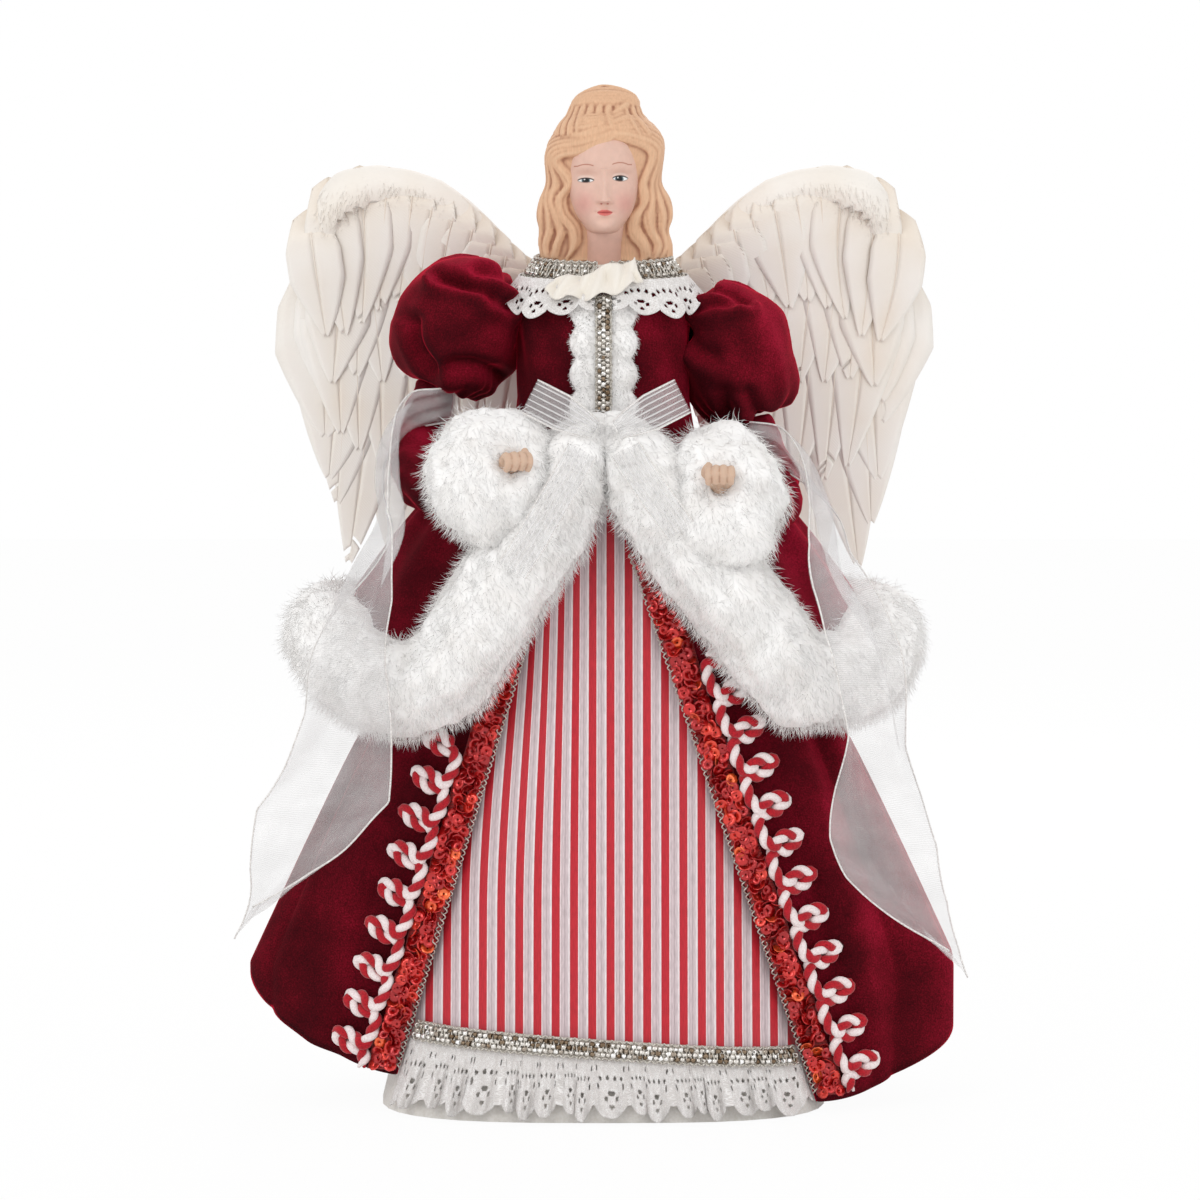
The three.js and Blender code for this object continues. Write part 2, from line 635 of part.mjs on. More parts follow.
// The velvet stops at the fur's core, which binds its edges
function peplumFace(out) {
  return (u, v) => {
    const hand = handOf(0.5 - u);
    const level = v * PEPLUM_VELVET_SHARE;
    const bound = (FUR_RADIUS * ramp(v, 0, 0.6)) / (PEPLUM_TOP_HALF_WIDTH + v * PEPLUM_HEM_HALF_WIDTH / 2);
    const angle = lerp(peplumEdge(hand, level) + bound, Math.PI, 1 - Math.abs(2 * u - 1));
    return onPeplum(hand, angle, level, out);
  };
}
const peplumSolid = solid(sheet(24, 3, peplumFace(VELVET), peplumFace(0)));

// Fur binding: down the front edge from the waist, round the corner and along the hem to the back seam
function furCurve(hand) {
  const points = [onPeplum(hand, PEPLUM_TOP_ANGLE, 0, FUR_WAIST_STANDOFF - FUR_HEAD_RISE)];
  points[0].z += FUR_HEAD_RISE;
  for (const v of [0, 0.3, 0.62, 0.9]) {
    points.push(onPeplum(hand, peplumEdge(hand, v), v, lerp(FUR_WAIST_STANDOFF, FUR_HEM_STANDOFF, v)));
  }
  for (const share of [0.12, 0.27, 0.45, 0.63, 0.82]) {
    points.push(onPeplum(hand, lerp(PEPLUM_CORNER_ANGLES[hand], Math.PI, share), 1, FUR_HEM_STANDOFF));
  }
  const seam = onPeplum(hand, Math.PI, 1, FUR_HEM_STANDOFF);
  seam.x = SIDES[hand] * FUR_SEAM;
  points.push(seam);
  return through(points);
}
const FUR_STEPS = 20;
const FUR_SIDES = 8;
function furRadius(share) {
  const rounded = Math.min(1, 0.6 + 9 * share);
  return rounded * lerp(FUR_WAIST_RADIUS, FUR_RADIUS, ramp(share, 0, 0.2));
}
function furSolid(hand, grow) {
  return solid(sweep(furCurve(hand), FUR_STEPS, FUR_SIDES, (share) => furRadius(share) + grow));
}

// Body form of foam, with the plug that seats it in the top of the cone
function torsoStation(share) {
  const rows = TORSO_SHARES;
  const row = Math.max(1, rows.findIndex((r) => r[0] >= share));
  const [a, b] = [rows[row - 1], rows[row]];
  const t = (share - a[0]) / (b[0] - a[0]);
  return [lerp(a[1], b[1], t) * TORSO_HALF_WIDTH, lerp(a[2], b[2], t) * TORSO_HALF_DEPTH];
}
const torsoFoot = CONE_HEIGHT + FIT;
const torsoTop = torsoFoot + TORSO_HEIGHT;
const TORSO_STEPS = 16;
function ovalRing(halfWidth, halfDepth, z, power = BODY_OVAL_POWER) {
  const ring = [];
  for (let s = 0; s < TORSO_STEPS; s++) {
    const [x, y] = oval(halfWidth, halfDepth, (2 * Math.PI * s) / TORSO_STEPS, power);
    ring.push(new THREE.Vector3(x, y, z));
  }
  return ring;
}
function torsoRing(share, out) {
  const [w, d] = torsoStation(share);
  return ovalRing(w + out, d + out, torsoFoot + share * TORSO_HEIGHT);
}
const TORSO_STATIONS = TORSO_SHARES.map((row) => row[0]);
const PLUG_IN = CARD + 2 * FIT;
const plugRing = (z) => ovalRing(CONE_TOP_HALF_WIDTH - PLUG_IN, CONE_TOP_HALF_DEPTH - PLUG_IN, z);
const torsoForm = loft([
  plugRing(CONE_HEIGHT - TORSO_PLUG),
  plugRing(torsoFoot),
  ...TORSO_STATIONS.map((share) => torsoRing(share, 0)),
]);
const torsoEnvelope = (out) => solid(loft(TORSO_STATIONS.map((share) => torsoRing(share, out))));

// Velvet bodice round the body form, open at the neck
const BODICE_OUT = FIT + VELVET;
function bodiceFace(out) {
  return (u, v) => {
    const share = TORSO_STATIONS[Math.round(v * (TORSO_STATIONS.length - 1))];
    const level = clamp(share, BODICE_FOOT_SHARE, BODICE_TOP_SHARE);
    const [w, d] = torsoStation(level);
    const [x, y] = oval(w + out, d + out, 2 * Math.PI * u, BODY_OVAL_POWER);
    return new THREE.Vector3(x, y, torsoFoot + level * TORSO_HEIGHT);
  };
}
const bodice = sheet(TORSO_STEPS, TORSO_STATIONS.length - 1, bodiceFace(BODICE_OUT), bodiceFace(FIT), true);

// Head: a neck, a face and the moulded hair, cast in one piece
const HAIR_HEIGHT = HAIR_RISE + HAIR_FALL;
function hairRing([up, w, d, back]) {
  const ring = [];
  const sides = 2 * HAIR_WAVES;
  for (let s = 0; s < sides; s++) {
    const angle = (2 * Math.PI * s) / sides;
    const lock = 1 + (s % 2 ? HAIR_WAVE_SHARE : -HAIR_WAVE_SHARE);
    const x = w * HAIR_HALF_WIDTH * lock * Math.sin(angle);
    const y = HAIR_HALF_DEPTH * (back - d * lock * Math.cos(angle));
    ring.push(new THREE.Vector3(x, y, HAIR_FOOT + up * HAIR_HEIGHT));
  }
  return ring;
}
const faceBall = ball(1, 14)
  .rotateX(Math.PI / 2)
  .scale(FACE_HALF_WIDTH, FACE_HALF_DEPTH, FACE_HEIGHT * 0.6)
  .translate(0, -NECK_LEAN, CHIN + FACE_HEIGHT * 0.6);
const faceHollow = ball(1, 14)
  .rotateX(Math.PI / 2)
  .scale(FACE_HALF_WIDTH * 0.96, HAIR_HALF_DEPTH * 1.3, FACE_HEIGHT * 0.62)
  .translate(0, -HAIR_HALF_DEPTH * 1.05, CHIN + FACE_HEIGHT * 0.5);
const throat = new THREE.BoxGeometry(2 * NECK_RADIUS, HAIR_HALF_DEPTH, 2 * (CHIN - HAIR_FOOT));
throat.translate(0, -HAIR_HALF_DEPTH / 2 - NECK_LEAN, CHIN - 0.6 * (CHIN - HAIR_FOOT));
const nose = ball(1, 6)
  .scale(FACE_HALF_WIDTH * 0.14, FACE_HALF_WIDTH * 0.22, FACE_HEIGHT * 0.13)
  .translate(0, -NECK_LEAN - FACE_HALF_DEPTH * 0.96, CHIN + FACE_HEIGHT * 0.36);
function neckSolid(grow) {
  const length = CHIN + FACE_HEIGHT / 4 - (torsoTop - NECK_PEG) + grow;
  const neck = new THREE.CylinderGeometry(NECK_RADIUS + grow, NECK_RADIUS + grow, length, 12);
  return solid(neck.rotateX(Math.PI / 2).translate(0, 0, torsoTop - NECK_PEG - grow + length / 2));
}
const hair = carve(solid(loft(HAIR_SHARES.map(hairRing))), solid(faceHollow), solid(throat));
const headCasting = hair.add(solid(faceBall)).add(neckSolid(0)).add(solid(nose));
// The hair rests on the shoulders, clear of the velvet
const headSeated = carve(headCasting, torsoEnvelope(BODICE_OUT + FIT).subtract(neckSolid(FIT / 2)));

// The pieces of one arm
function armPieces(hand) {
  const arm = {};
  for (const [name, place] of Object.entries(ARMS[hand])) arm[name] = fromWaist(place);
  const { halfWidth, halfHeight, halfLength } = CUFFS[hand];
  const { wrist } = arm;
  const toHand = arm.knuckles.clone().sub(wrist).normalize();
  const wireLine = through([
    arm.shoulder,
    arm.puffMiddle,
    arm.puffFoot,
    arm.elbow,
    arm.forearm,
    arm.wrist,
    wrist.clone().addScaledVector(toHand, WIRE_IN_HAND),
  ]);
  const wire = (grow) => solid(tube(wireLine, WIRE_RADIUS + grow, 16, 6));
  const puffLine = through([arm.puffTop, arm.puffMiddle, arm.puffFoot]);
  const puff = (grow) =>
    solid(
      sweep(puffLine, 7, 2 * PUFF_PLEATS, (t, angle) => {
        const round = Math.sin(Math.PI * lerp(0.13, 0.86, t)) ** 0.62;
        const pleat = 1 + PUFF_PLEAT_SHARE * Math.cos(PUFF_PLEATS * angle) * Math.abs(2 * t - 1);
        return PUFF_RADIUS[hand] * round * pleat + grow;
      }),
    );
  const sleeveLine = through([arm.puffFoot, arm.elbow, arm.forearm, arm.wrist]);
  const sleeve = (grow) =>
    solid(
      sweep(sleeveLine, 9, 10, (t) => {
        const ends = lerp(SLEEVE_HEAD_RADIUS, SLEEVE_WRIST_RADIUS, t);
        return lerp(ends, SLEEVE_RADIUS, Math.sin(Math.PI * t) ** 0.7) + grow;
      }),
    );
  const toward = new THREE.Quaternion().setFromUnitVectors(new THREE.Vector3(0, -1, 0), toHand);
  const placed = (geometry) => geometry.applyQuaternion(toward).translate(...wrist);
  const cuff = (grow) =>
    solid(placed(ball(1, 14).scale(halfWidth + grow, halfLength + grow, halfHeight + grow)));
  const mouth = (radius, length) =>
    solid(placed(new THREE.CylinderGeometry(radius, radius, length, 10).translate(0, -length / 2, 0)));
  return { wire, puff, sleeve, cuff, mouth, placed };
}

// A small cast hand half closed: a palm, four fingers curled over it and a thumb. It points along -Y.
function handSolid({ placed, mouth }) {
  const palm = ball(1, 8)
    .scale(HAND_WIDTH / 2, HAND_LENGTH / 2, HAND_THICKNESS / 2)
    .translate(0, -HAND_START - HAND_LENGTH / 2, 0);
  let hand = solid(placed(palm)).add(mouth(CUFF_MOUTH_RADIUS - 2 * FIT, HAND_START + HAND_LENGTH / 3));
  for (let finger = 0; finger < FINGERS; finger++) {
    const aside = (finger - (FINGERS - 1) / 2) * FINGER_RADIUS * 1.65;
    const curled = new THREE.CapsuleGeometry(FINGER_RADIUS, FINGER_LENGTH * (1 - 0.08 * finger), 1, 5)
      .rotateX(0.45)
      .translate(aside, -HAND_START - HAND_LENGTH * 0.86, HAND_THICKNESS * 0.1);
    hand = hand.add(solid(placed(curled)));
  }
  const thumb = new THREE.CapsuleGeometry(FINGER_RADIUS, FINGER_LENGTH * 0.6, 1, 5)
    .rotateZ(0.4)
    .translate(HAND_WIDTH * 0.36, -HAND_START - HAND_LENGTH * 0.66, HAND_THICKNESS * 0.45);
  return hand.add(solid(placed(thumb)));
}

const arms = { left: armPieces("left"), right: armPieces("right") };
const bodiceEnvelope = torsoEnvelope(BODICE_OUT + FIT);
const robeEnvelope = solid(sheet(ROBE_STEPS, ROBE_ROWS, robeFace(VELVET + FIT), robeFace(-FIT)));
const panelEnvelope = solid(sheet(PANEL_STEPS, 2, panelFace(PANEL_OUT + FIT), panelFace(0)));
const cuffEnvelopes = [arms.left.cuff(FIT), arms.right.cuff(FIT)];
const sleeveEnvelopes = [arms.left, arms.right].flatMap(({ puff, sleeve }) => [puff(FIT), sleeve(FIT)]);
const furEnvelopes = [furSolid("left", FIT), furSolid("right", FIT)];

const throughBody = [neckSolid(FIT), arms.left.wire(FIT), arms.right.wire(FIT)];
add("torso_form", carve(solid(torsoForm), ...throughBody), FINISHES.foam);
add("velvet_bodice", carve(solid(bodice), ...throughBody), FINISHES.velvet);
add("head_casting", headSeated, FINISHES.resin);

for (const hand of ["left", "right"]) {
  const pieces = arms[hand];
  const { wire, puff, sleeve, cuff, mouth } = pieces;
  const bore = mouth(CUFF_MOUTH_RADIUS, 2 * CUFFS[hand].halfLength);
  add(`arm_wire_${hand}`, wire(0), FINISHES.wire);
  add(`hand_${hand}`, carve(handSolid(pieces), wire(FIT)), FINISHES.resin);
  const puffCut = carve(puff(0), bodiceEnvelope, wire(FIT), headSeated);
  add(`sleeve_puff_${hand}`, largest(puffCut), FINISHES.velvet);
  add(`sleeve_lower_${hand}`, largest(carve(sleeve(0), puff(FIT), cuff(FIT), wire(FIT))), FINISHES.velvet);
  add(`fur_cuff_${hand}`, largest(carve(cuff(0), wire(FIT), bore)), FINISHES.fur);
}

// Furs and peplum, each cut back from what it lies on
const underPeplum = [robeEnvelope, bodiceEnvelope, ...cuffEnvelopes, ...sleeveEnvelopes];
const underFur = [panelEnvelope, ...underPeplum];
for (const hand of ["left", "right"]) {
  const body = carve(furSolid(hand, 0), ...underFur);
  add(`peplum_fur_${hand}`, largest(hand === "right" ? carve(body, furEnvelopes[0]) : body), FINISHES.fur);
}
add("velvet_peplum", largest(carve(peplumSolid, ...furEnvelopes, ...underPeplum)), FINISHES.velvet);

// Sequin braids and looped cords down the front edges of the robe
for (const hand of ["left", "right"]) {
  const edge = ROBE_EDGES[hand];
  const braidZ = (v) => lerp(SEQUIN_BRAID_FOOT[hand], SEQUIN_BRAID_HEAD[hand], v);
  const face = (lift) => (u, v) => besideEdge(edge, braidZ(v), SEQUIN_BRAID_WIDTH * u, lift);
  const strip = solid(sheet(2, 12, face(FIT + SEQUIN_BRAID_THICKNESS), face(FIT)));
  add(`sequin_braid_${hand}`, largest(carve(strip, ...furEnvelopes)), FINISHES.sequins);

  const points = [];
  const lineOut = SEQUIN_BRAID_WIDTH + CORD_RADIUS + 4 * FIT;
  const half = CORD_RADIUS + CORD_LEG_GAP / 2;
  for (let loop = 0; loop < CORD_LOOPS[hand]; loop++) {
    const z = CORD_FOOT[hand] + loop * CORD_PITCH;
    const loopPlaces = CORD_LOOP_SHARES.map(([along, out]) => [half * along, CORD_LOOP_REACH * out]);
    for (const [up, out] of [[-CORD_PITCH / 2, 0], ...loopPlaces]) {
      const rise = up + out * CORD_LOOP_RISE_SHARE;
      points.push(besideEdge(edge, z + rise, lineOut + out, 2 * FIT + CORD_RADIUS));
    }
  }
  const line = through(points);
  const gap = leastGap(line, CORD_RADIUS).toFixed(2);
  console.log(`looped_cord_${hand}: the least gap between its turns is ${gap} mm`);
  const cord = solid(sweep(line, 7 * CORD_LOOPS[hand], 5, () => CORD_RADIUS));
  add(`looped_cord_${hand}`, largest(carve(cord, ...furEnvelopes)), FINISHES.cord);
}

// Placket: white felt with scalloped sides, and a strip of silver beads down its middle
const placketFoot = torsoFoot + PLACKET_FOOT_SHARE * TORSO_HEIGHT;
const PLACKET_OUT = FIT + PLACKET_THICKNESS;
// A point on the chest: distance from the middle, height, and distance off the velvet
function onChest(x, z, out) {
  const [w, d] = torsoStation(clamp((z - torsoFoot) / TORSO_HEIGHT, 0, 1));
  const bend = (1 - (Math.abs(x) / (w + BODICE_OUT)) ** BODY_OVAL_POWER) ** (1 / BODY_OVAL_POWER);
  return new THREE.Vector3(x, -(d + BODICE_OUT) * bend - out, z);
}
const placketHalf = (v) =>
  PLACKET_WIDTH / 2 - PLACKET_SCALLOP_DEPTH * (1 - Math.abs(Math.sin(Math.PI * PLACKET_SCALLOPS * v)));
function placketFace(out) {
  return (u, v) => onChest(lerp(-1, 1, u) * placketHalf(v), placketFoot + v * PLACKET_HEIGHT, out);
}
const PLACKET_STEPS = 4 * PLACKET_SCALLOPS;
const placket = sheet(4, PLACKET_STEPS, placketFace(PLACKET_OUT), placketFace(2 * FIT));
add("placket_felt", largest(carve(solid(placket), ...furEnvelopes, ...sleeveEnvelopes)), FINISHES.lace);
const placketEnvelope = solid(sheet(4, PLACKET_STEPS, placketFace(PLACKET_OUT + FIT), placketFace(0)));
function beadFace(out) {
  return (u, v) => onChest(lerp(-1, 1, u) * (BEAD_STRIP_WIDTH / 2), placketFoot + v * PLACKET_HEIGHT, out);
}
const BEAD_TAPE_OUT = PLACKET_OUT + 2 * FIT;
const BEAD_TAPE_FACE = BEAD_TAPE_OUT + BEAD_STRIP_THICKNESS;
let beadStrip = solid(sheet(2, PLACKET_STEPS / 2, beadFace(BEAD_TAPE_FACE), beadFace(BEAD_TAPE_OUT)));
for (let row = 0; row < BEAD_ROWS; row++) {
  const place = onChest(0, placketFoot + ((row + 0.5) / BEAD_ROWS) * PLACKET_HEIGHT, BEAD_TAPE_FACE);
  const bead = new THREE.OctahedronGeometry(BEAD_RADIUS).translate(...place);
  beadStrip = beadStrip.add(solid(bead));
}
add("placket_beads", largest(carve(beadStrip, ...furEnvelopes)), FINISHES.silver);

// Collar: a silver braid round the neck of the bodice, and the lace that falls from it over the shoulders
const collarFoot = (angle) => WAIST + COLLAR_RISE - (COLLAR_DIP * (1 + Math.cos(angle))) / 2;
const collarAngle = (u) => lerp(COLLAR_GAP_ANGLE, 2 * Math.PI - COLLAR_GAP_ANGLE, u);
function onCollar(angle, reach, z) {
  return new THREE.Vector3(
    (COLLAR_HALF_WIDTH + reach) * Math.sin(angle),
    -(COLLAR_HALF_DEPTH + reach) * Math.cos(angle),
    collarFoot(angle) + z,
  );
}
function collarFace(out) {
  return (u, v) => {
    const place = onCollar(collarAngle(u), out, v * COLLAR_BRAID_HEIGHT);
    place.x *= lerp(1, COLLAR_TOP_HALF_WIDTH / COLLAR_HALF_WIDTH, v);
    place.y *= lerp(1, COLLAR_TOP_HALF_DEPTH / COLLAR_HALF_DEPTH, v);
    return place;
  };
}
function collarLaceFace(up) {
  return (u, v) => {
    const wave = COLLAR_LACE_FLARE * Math.cos(2 * Math.PI * COLLAR_LACE_WAVES * u) * v;
    const reach = COLLAR_BRAID_THICKNESS + FIT + v * COLLAR_LACE_REACH + wave;
    return onCollar(collarAngle(u), reach, up - v * COLLAR_LACE_DROP);
  };
}
const collarBraid = solid(sheet(24, 1, collarFace(COLLAR_BRAID_THICKNESS), collarFace(0)));
const underCollar = [bodiceEnvelope, placketEnvelope, ...sleeveEnvelopes];
add("collar_braid", largest(carve(collarBraid, ...underCollar, headSeated)), FINISHES.silver);
const collarLace = solid(sheet(4 * COLLAR_LACE_WAVES, 2, collarLaceFace(LACE), collarLaceFace(0)));
add("collar_lace", largest(carve(collarLace, ...underCollar)), FINISHES.lace);

// A ribbon through rows of places and half widths, with a ruffle that runs along it
function ribbon(rows, steps, columns, thickness, ruffle = 0) {
  const middle = through(rows.map((row) => row.slice(0, 3)));
  const half = through(rows.map((row) => row.slice(3)));
  const face = (out) => (u, v) => {
    const across = half.getPoint(v);
    const off = middle.getTangent(v).cross(across).normalize();
    const wave = ruffle * Math.sin(v * Math.PI) * Math.cos(2 * Math.PI * (1.5 * u + v));
    return middle.getPoint(v).addScaledVector(across, 2 * u - 1).addScaledVector(off, out + wave);
  };
  return sheet(columns, steps, face(thickness / 2), face(-thickness / 2));
}

// Organza bow at the waist, over the furs
const BOW_HEIGHT = WAIST + BOW_RISE;
const knotPlace = [BOW_X, -BOW_STANDOFF, BOW_HEIGHT];
const knot = new THREE.CapsuleGeometry(BOW_KNOT_RADIUS, BOW_KNOT_LENGTH - 2 * BOW_KNOT_RADIUS, 3, 10);
knot.rotateX(Math.PI / 2).translate(...knotPlace);
const knotSolid = carve(solid(knot), ...furEnvelopes);
add("bow_knot", largest(knotSolid), FINISHES.organza);
const knotEnvelope = solid(knot.clone().translate(0, 0, -FIT));
const underBow = [...furEnvelopes, ...cuffEnvelopes];
for (const hand of ["left", "right"]) {
  const [c, s] = [Math.cos(BOW_RISE_ANGLE), Math.sin(BOW_RISE_ANGLE)];
  const rows = [];
  // distance along the loop and depth in front of its middle, as shares, then the width
  const way = [[0, 0.42, BOW_PINCH_SHARE], [0.25, 0.85, 0.8], [0.62, 1, 1], [0.93, 0.55, 1], [1, 0, 1]];
  const back = way.slice(0, -1).reverse().map(([along, depth, width]) => [along, -depth, width]);
  for (const [along, depth, width] of [...way, ...back]) {
    const reach = BOW_KNOT_RADIUS + FIT + along * (BOW_LOOP_LENGTH - BOW_KNOT_RADIUS);
    const half = (BOW_WIDTH / 2) * width;
    rows.push([
      BOW_X + SIDES[hand] * reach * c,
      -BOW_STANDOFF - depth * BOW_LOOP_DEPTH,
      BOW_HEIGHT + reach * s,
      -SIDES[hand] * half * s,
      0,
      half * c,
    ]);
  }
  const loop = carve(solid(ribbon(rows, 12, 2, RIBBON)), ...underBow);
  add(`bow_loop_${hand}`, largest(loop), FINISHES.organza);

  // The tail lies along the front of the fur
  const line = furCurve(hand);
  const tailRows = [];
  for (const t of [0, 0.25, 0.5, 0.75, 1]) {
    const share = lerp(...BOW_TAIL_SHARES[hand], t);
    const place = line.getPointAt(share);
    const across = line.getTangentAt(share).cross(new THREE.Vector3(0, 1, 0)).setLength(BOW_TAIL_WIDTH / 2);
    const off = furRadius(share) + FIT + RIBBON;
    tailRows.push([place.x, place.y - off, place.z, ...across]);
  }
  const tail = carve(solid(ribbon(tailRows, 8, 2, RIBBON)), ...underBow, knotEnvelope);
  add(`bow_tail_${hand}`, largest(tail), FINISHES.organza);
}

// Scarves from the elbows
for (const hand of ["left", "right"]) {
  const rows = SCARVES[hand].map(([x, y, z, ...half]) => [x, y, WAIST + z, ...half]);
  const scarf = solid(ribbon(rows, SCARF_STEPS, 4, RIBBON, SCARF_RUFFLE));
  const under = [...underFur, ...furEnvelopes];
  add(`scarf_${hand}`, largest(carve(scarf, ...under)), FINISHES.organza);
}

// Wings: a wire in a socket on the back plate, rows of feathers below it, and down over their roots
const wingY = (x, z) =>
  WING_ROOT_Y + WING_SWEEP_SHARE * (x - WING_ROOT_X) + WING_LEAN_SHARE * (WING_ROOT_Z - z);
const wingPoint = (side, [x, z], out) => new THREE.Vector3(side * x, wingY(x, z) - out, z);
const flat = (points) => through(points.map(([x, z]) => [x, 0, WAIST + z]));
const ridge = flat(WING_RIDGE);
// A place below the wire, at a share of the way along it and a distance in from it
function underRidge(share, inwards) {
  const place = ridge.getPoint(share);
  const along = ridge.getTangent(share);
  return [place.x + along.z * inwards, place.z - along.x * inwards];
}
const ROOT_IN = WIRE_RADIUS + 2 * FIT;
const FEATHER_COLUMN_SHARES = [0.06, 0.5, 0.94];
function featherPlace(row, share, v, length = 1, end = ROWS_END_SHARE) {
  const [rx, rz] = underRidge(lerp(row.from, end, share), ROOT_IN);
  const tip = flat(row.tips).getPoint(share);
  return [lerp(rx, tip.x, v * length), lerp(rz, tip.z, v * length)];
}
function featherRow(side, row) {
  const columns = row.count * FEATHER_COLUMN_SHARES.length - 1;
  const face = (out) => (u, v) => {
    const column = Math.round(u * columns);
    const within = FEATHER_COLUMN_SHARES[column % FEATHER_COLUMN_SHARES.length];
    const share = (Math.floor(column / FEATHER_COLUMN_SHARES.length) + within) / row.count;
    const length = 1 - FEATHER_NOTCH_SHARE * Math.abs(2 * within - 1) ** 2;
    const shingle = FEATHER_SHINGLE * (within - 0.5) * ramp(v, 0.1, 0.5);
    const bow = FEATHER_BOW * Math.sin(Math.PI * v);
    return wingPoint(side, featherPlace(row, share, v, length), row.layer + out + shingle - bow);
  };
  return sheet(columns, 3, face(FEATHER_THICKNESS), face(0));
}
const slabRow = FEATHER_ROWS.coverts;
const slabBack = FEATHER_ROWS.primaries.layer - 2 * FIT - FEATHER_BOW;
const slabFront = slabRow.layer + FEATHER_THICKNESS + 2 * FIT;
const plateBox = new THREE.BoxGeometry(2 * PLATE_HALF_WIDTH, PLATE_DEPTH, PLATE_HEIGHT);
plateBox.translate(0, PLATE_DEPTH / 2, PLATE_FOOT + PLATE_HEIGHT / 2);
let plate = carve(solid(plateBox), bodiceEnvelope);
for (const hand of ["left", "right"]) {
  const side = SIDES[hand];
  const legHeights = [WIRE_RADIUS + FIT, SOCKET_HEIGHT / 2, SOCKET_HEIGHT];
  const leg = legHeights.map((up) => new THREE.Vector3(side * WING_ROOT_X, WING_ROOT_Y, SOCKET_FOOT + up));
  const top = WING_RIDGE.map(([x, z]) => wingPoint(side, [x, WAIST + z], 0));
  const wire = (grow) => solid(tube(through([...leg, ...top]), WIRE_RADIUS + grow, 18, 6));
  const upright = (radius, lift) =>
    new THREE.CylinderGeometry(radius, radius, SOCKET_HEIGHT, 12)
      .rotateX(Math.PI / 2)
      .translate(side * WING_ROOT_X, WING_ROOT_Y, SOCKET_FOOT + SOCKET_HEIGHT / 2 + lift);
  plate = plate.add(solid(upright(SOCKET_RADIUS, 0)));
  plate = carve(plate, solid(upright(WIRE_RADIUS + FIT, WIRE_RADIUS)));
  add(`wing_wire_${hand}`, wire(0), FINISHES.wire);
  for (const [name, row] of Object.entries(FEATHER_ROWS)) {
    add(`wing_${name}_${hand}`, featherRow(side, row), FINISHES.feather);
  }
  const slab = (out) => (u, v) => wingPoint(side, featherPlace(slabRow, u, lerp(-0.08, 0.6, v), 1, 1), out);
  const downLine = through(
    [0.16, 0.32, 0.48, 0.64, 0.78, 0.89].map((share) => {
      const [x, z] = underRidge(share, 0);
      return wingPoint(side, [x, z], 0);
    }),
  );
  const down = solid(
    sweep(downLine, 9, 7, (t) => WING_DOWN_RADIUS * Math.sin(Math.PI * lerp(0.12, 0.88, t)) ** 0.4),
  );
  const roots = solid(sheet(9, 1, slab(slabFront), slab(slabBack)));
  add(`wing_down_${hand}`, largest(carve(down, roots, wire(FIT))), FINISHES.feather);
}
add("wing_plate", plate, FINISHES.card);

export default angel;
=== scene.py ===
import math

import bmesh
import bpy
import numpy as np
from mathutils import Euler, Matrix, Vector


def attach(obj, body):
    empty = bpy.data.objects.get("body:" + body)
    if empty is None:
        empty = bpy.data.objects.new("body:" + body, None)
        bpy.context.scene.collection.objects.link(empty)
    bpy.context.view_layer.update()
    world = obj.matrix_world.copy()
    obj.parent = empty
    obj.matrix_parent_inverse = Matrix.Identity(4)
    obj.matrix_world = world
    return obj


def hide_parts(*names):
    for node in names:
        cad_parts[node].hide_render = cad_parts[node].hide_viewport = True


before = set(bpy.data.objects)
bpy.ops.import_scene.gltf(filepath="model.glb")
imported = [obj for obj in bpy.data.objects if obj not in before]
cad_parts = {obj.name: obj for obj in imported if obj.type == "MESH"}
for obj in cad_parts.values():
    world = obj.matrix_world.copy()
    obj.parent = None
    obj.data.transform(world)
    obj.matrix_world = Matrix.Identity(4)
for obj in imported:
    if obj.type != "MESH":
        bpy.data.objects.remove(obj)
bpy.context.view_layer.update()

# The view of the photograph
# A long lens looks straight at the front from arm's length and a little above the middle of the skirt.
MM = 0.001
AIM = Vector((-1.4, 0, 200.3)) * MM
CAMERA_DISTANCE = 1800 * MM
CAMERA_RISE = math.radians(4)
VIEW_WIDTH = 481 * MM
camera_data = bpy.data.cameras.new("camera")
camera = bpy.data.objects.new("camera", camera_data)
bpy.context.scene.collection.objects.link(camera)
camera_data.lens = camera_data.sensor_width * CAMERA_DISTANCE / VIEW_WIDTH
toward = Vector((0, -math.cos(CAMERA_RISE), math.sin(CAMERA_RISE)))
camera.location = AIM + toward * CAMERA_DISTANCE
camera.rotation_euler = toward.to_track_quat("Z", "Y").to_euler()
bpy.context.scene.camera = camera
bpy.context.scene.view_settings.view_transform = "Standard"


# White studio
# A plain white floor and surround, lit by a soft sky and three large soft lamps.
def srgb(colour):
    """The linear colour of an sRGB hex value."""
    shares = [int(colour[i:i + 2], 16) / 255 for i in (1, 3, 5)]
    return [c / 12.92 if c <= 0.04045 else ((c + 0.055) / 1.055) ** 2.4 for c in shares] + [1.0]


def set_inputs(made, tree, inputs):
    """Sets a node's inputs, each to a value or to a link from another node or one of its outputs."""
    for name, value in inputs.items():
        if isinstance(name, str):
            socket = next(s for s in made.inputs if s.enabled and name == s.name)
        else:
            socket = made.inputs[name]
        if isinstance(value, bpy.types.Node):
            value = next(s for s in value.outputs if s.enabled)
        if isinstance(value, bpy.types.NodeSocket):
            tree.links.new(value, socket)
        else:
            socket.default_value = value


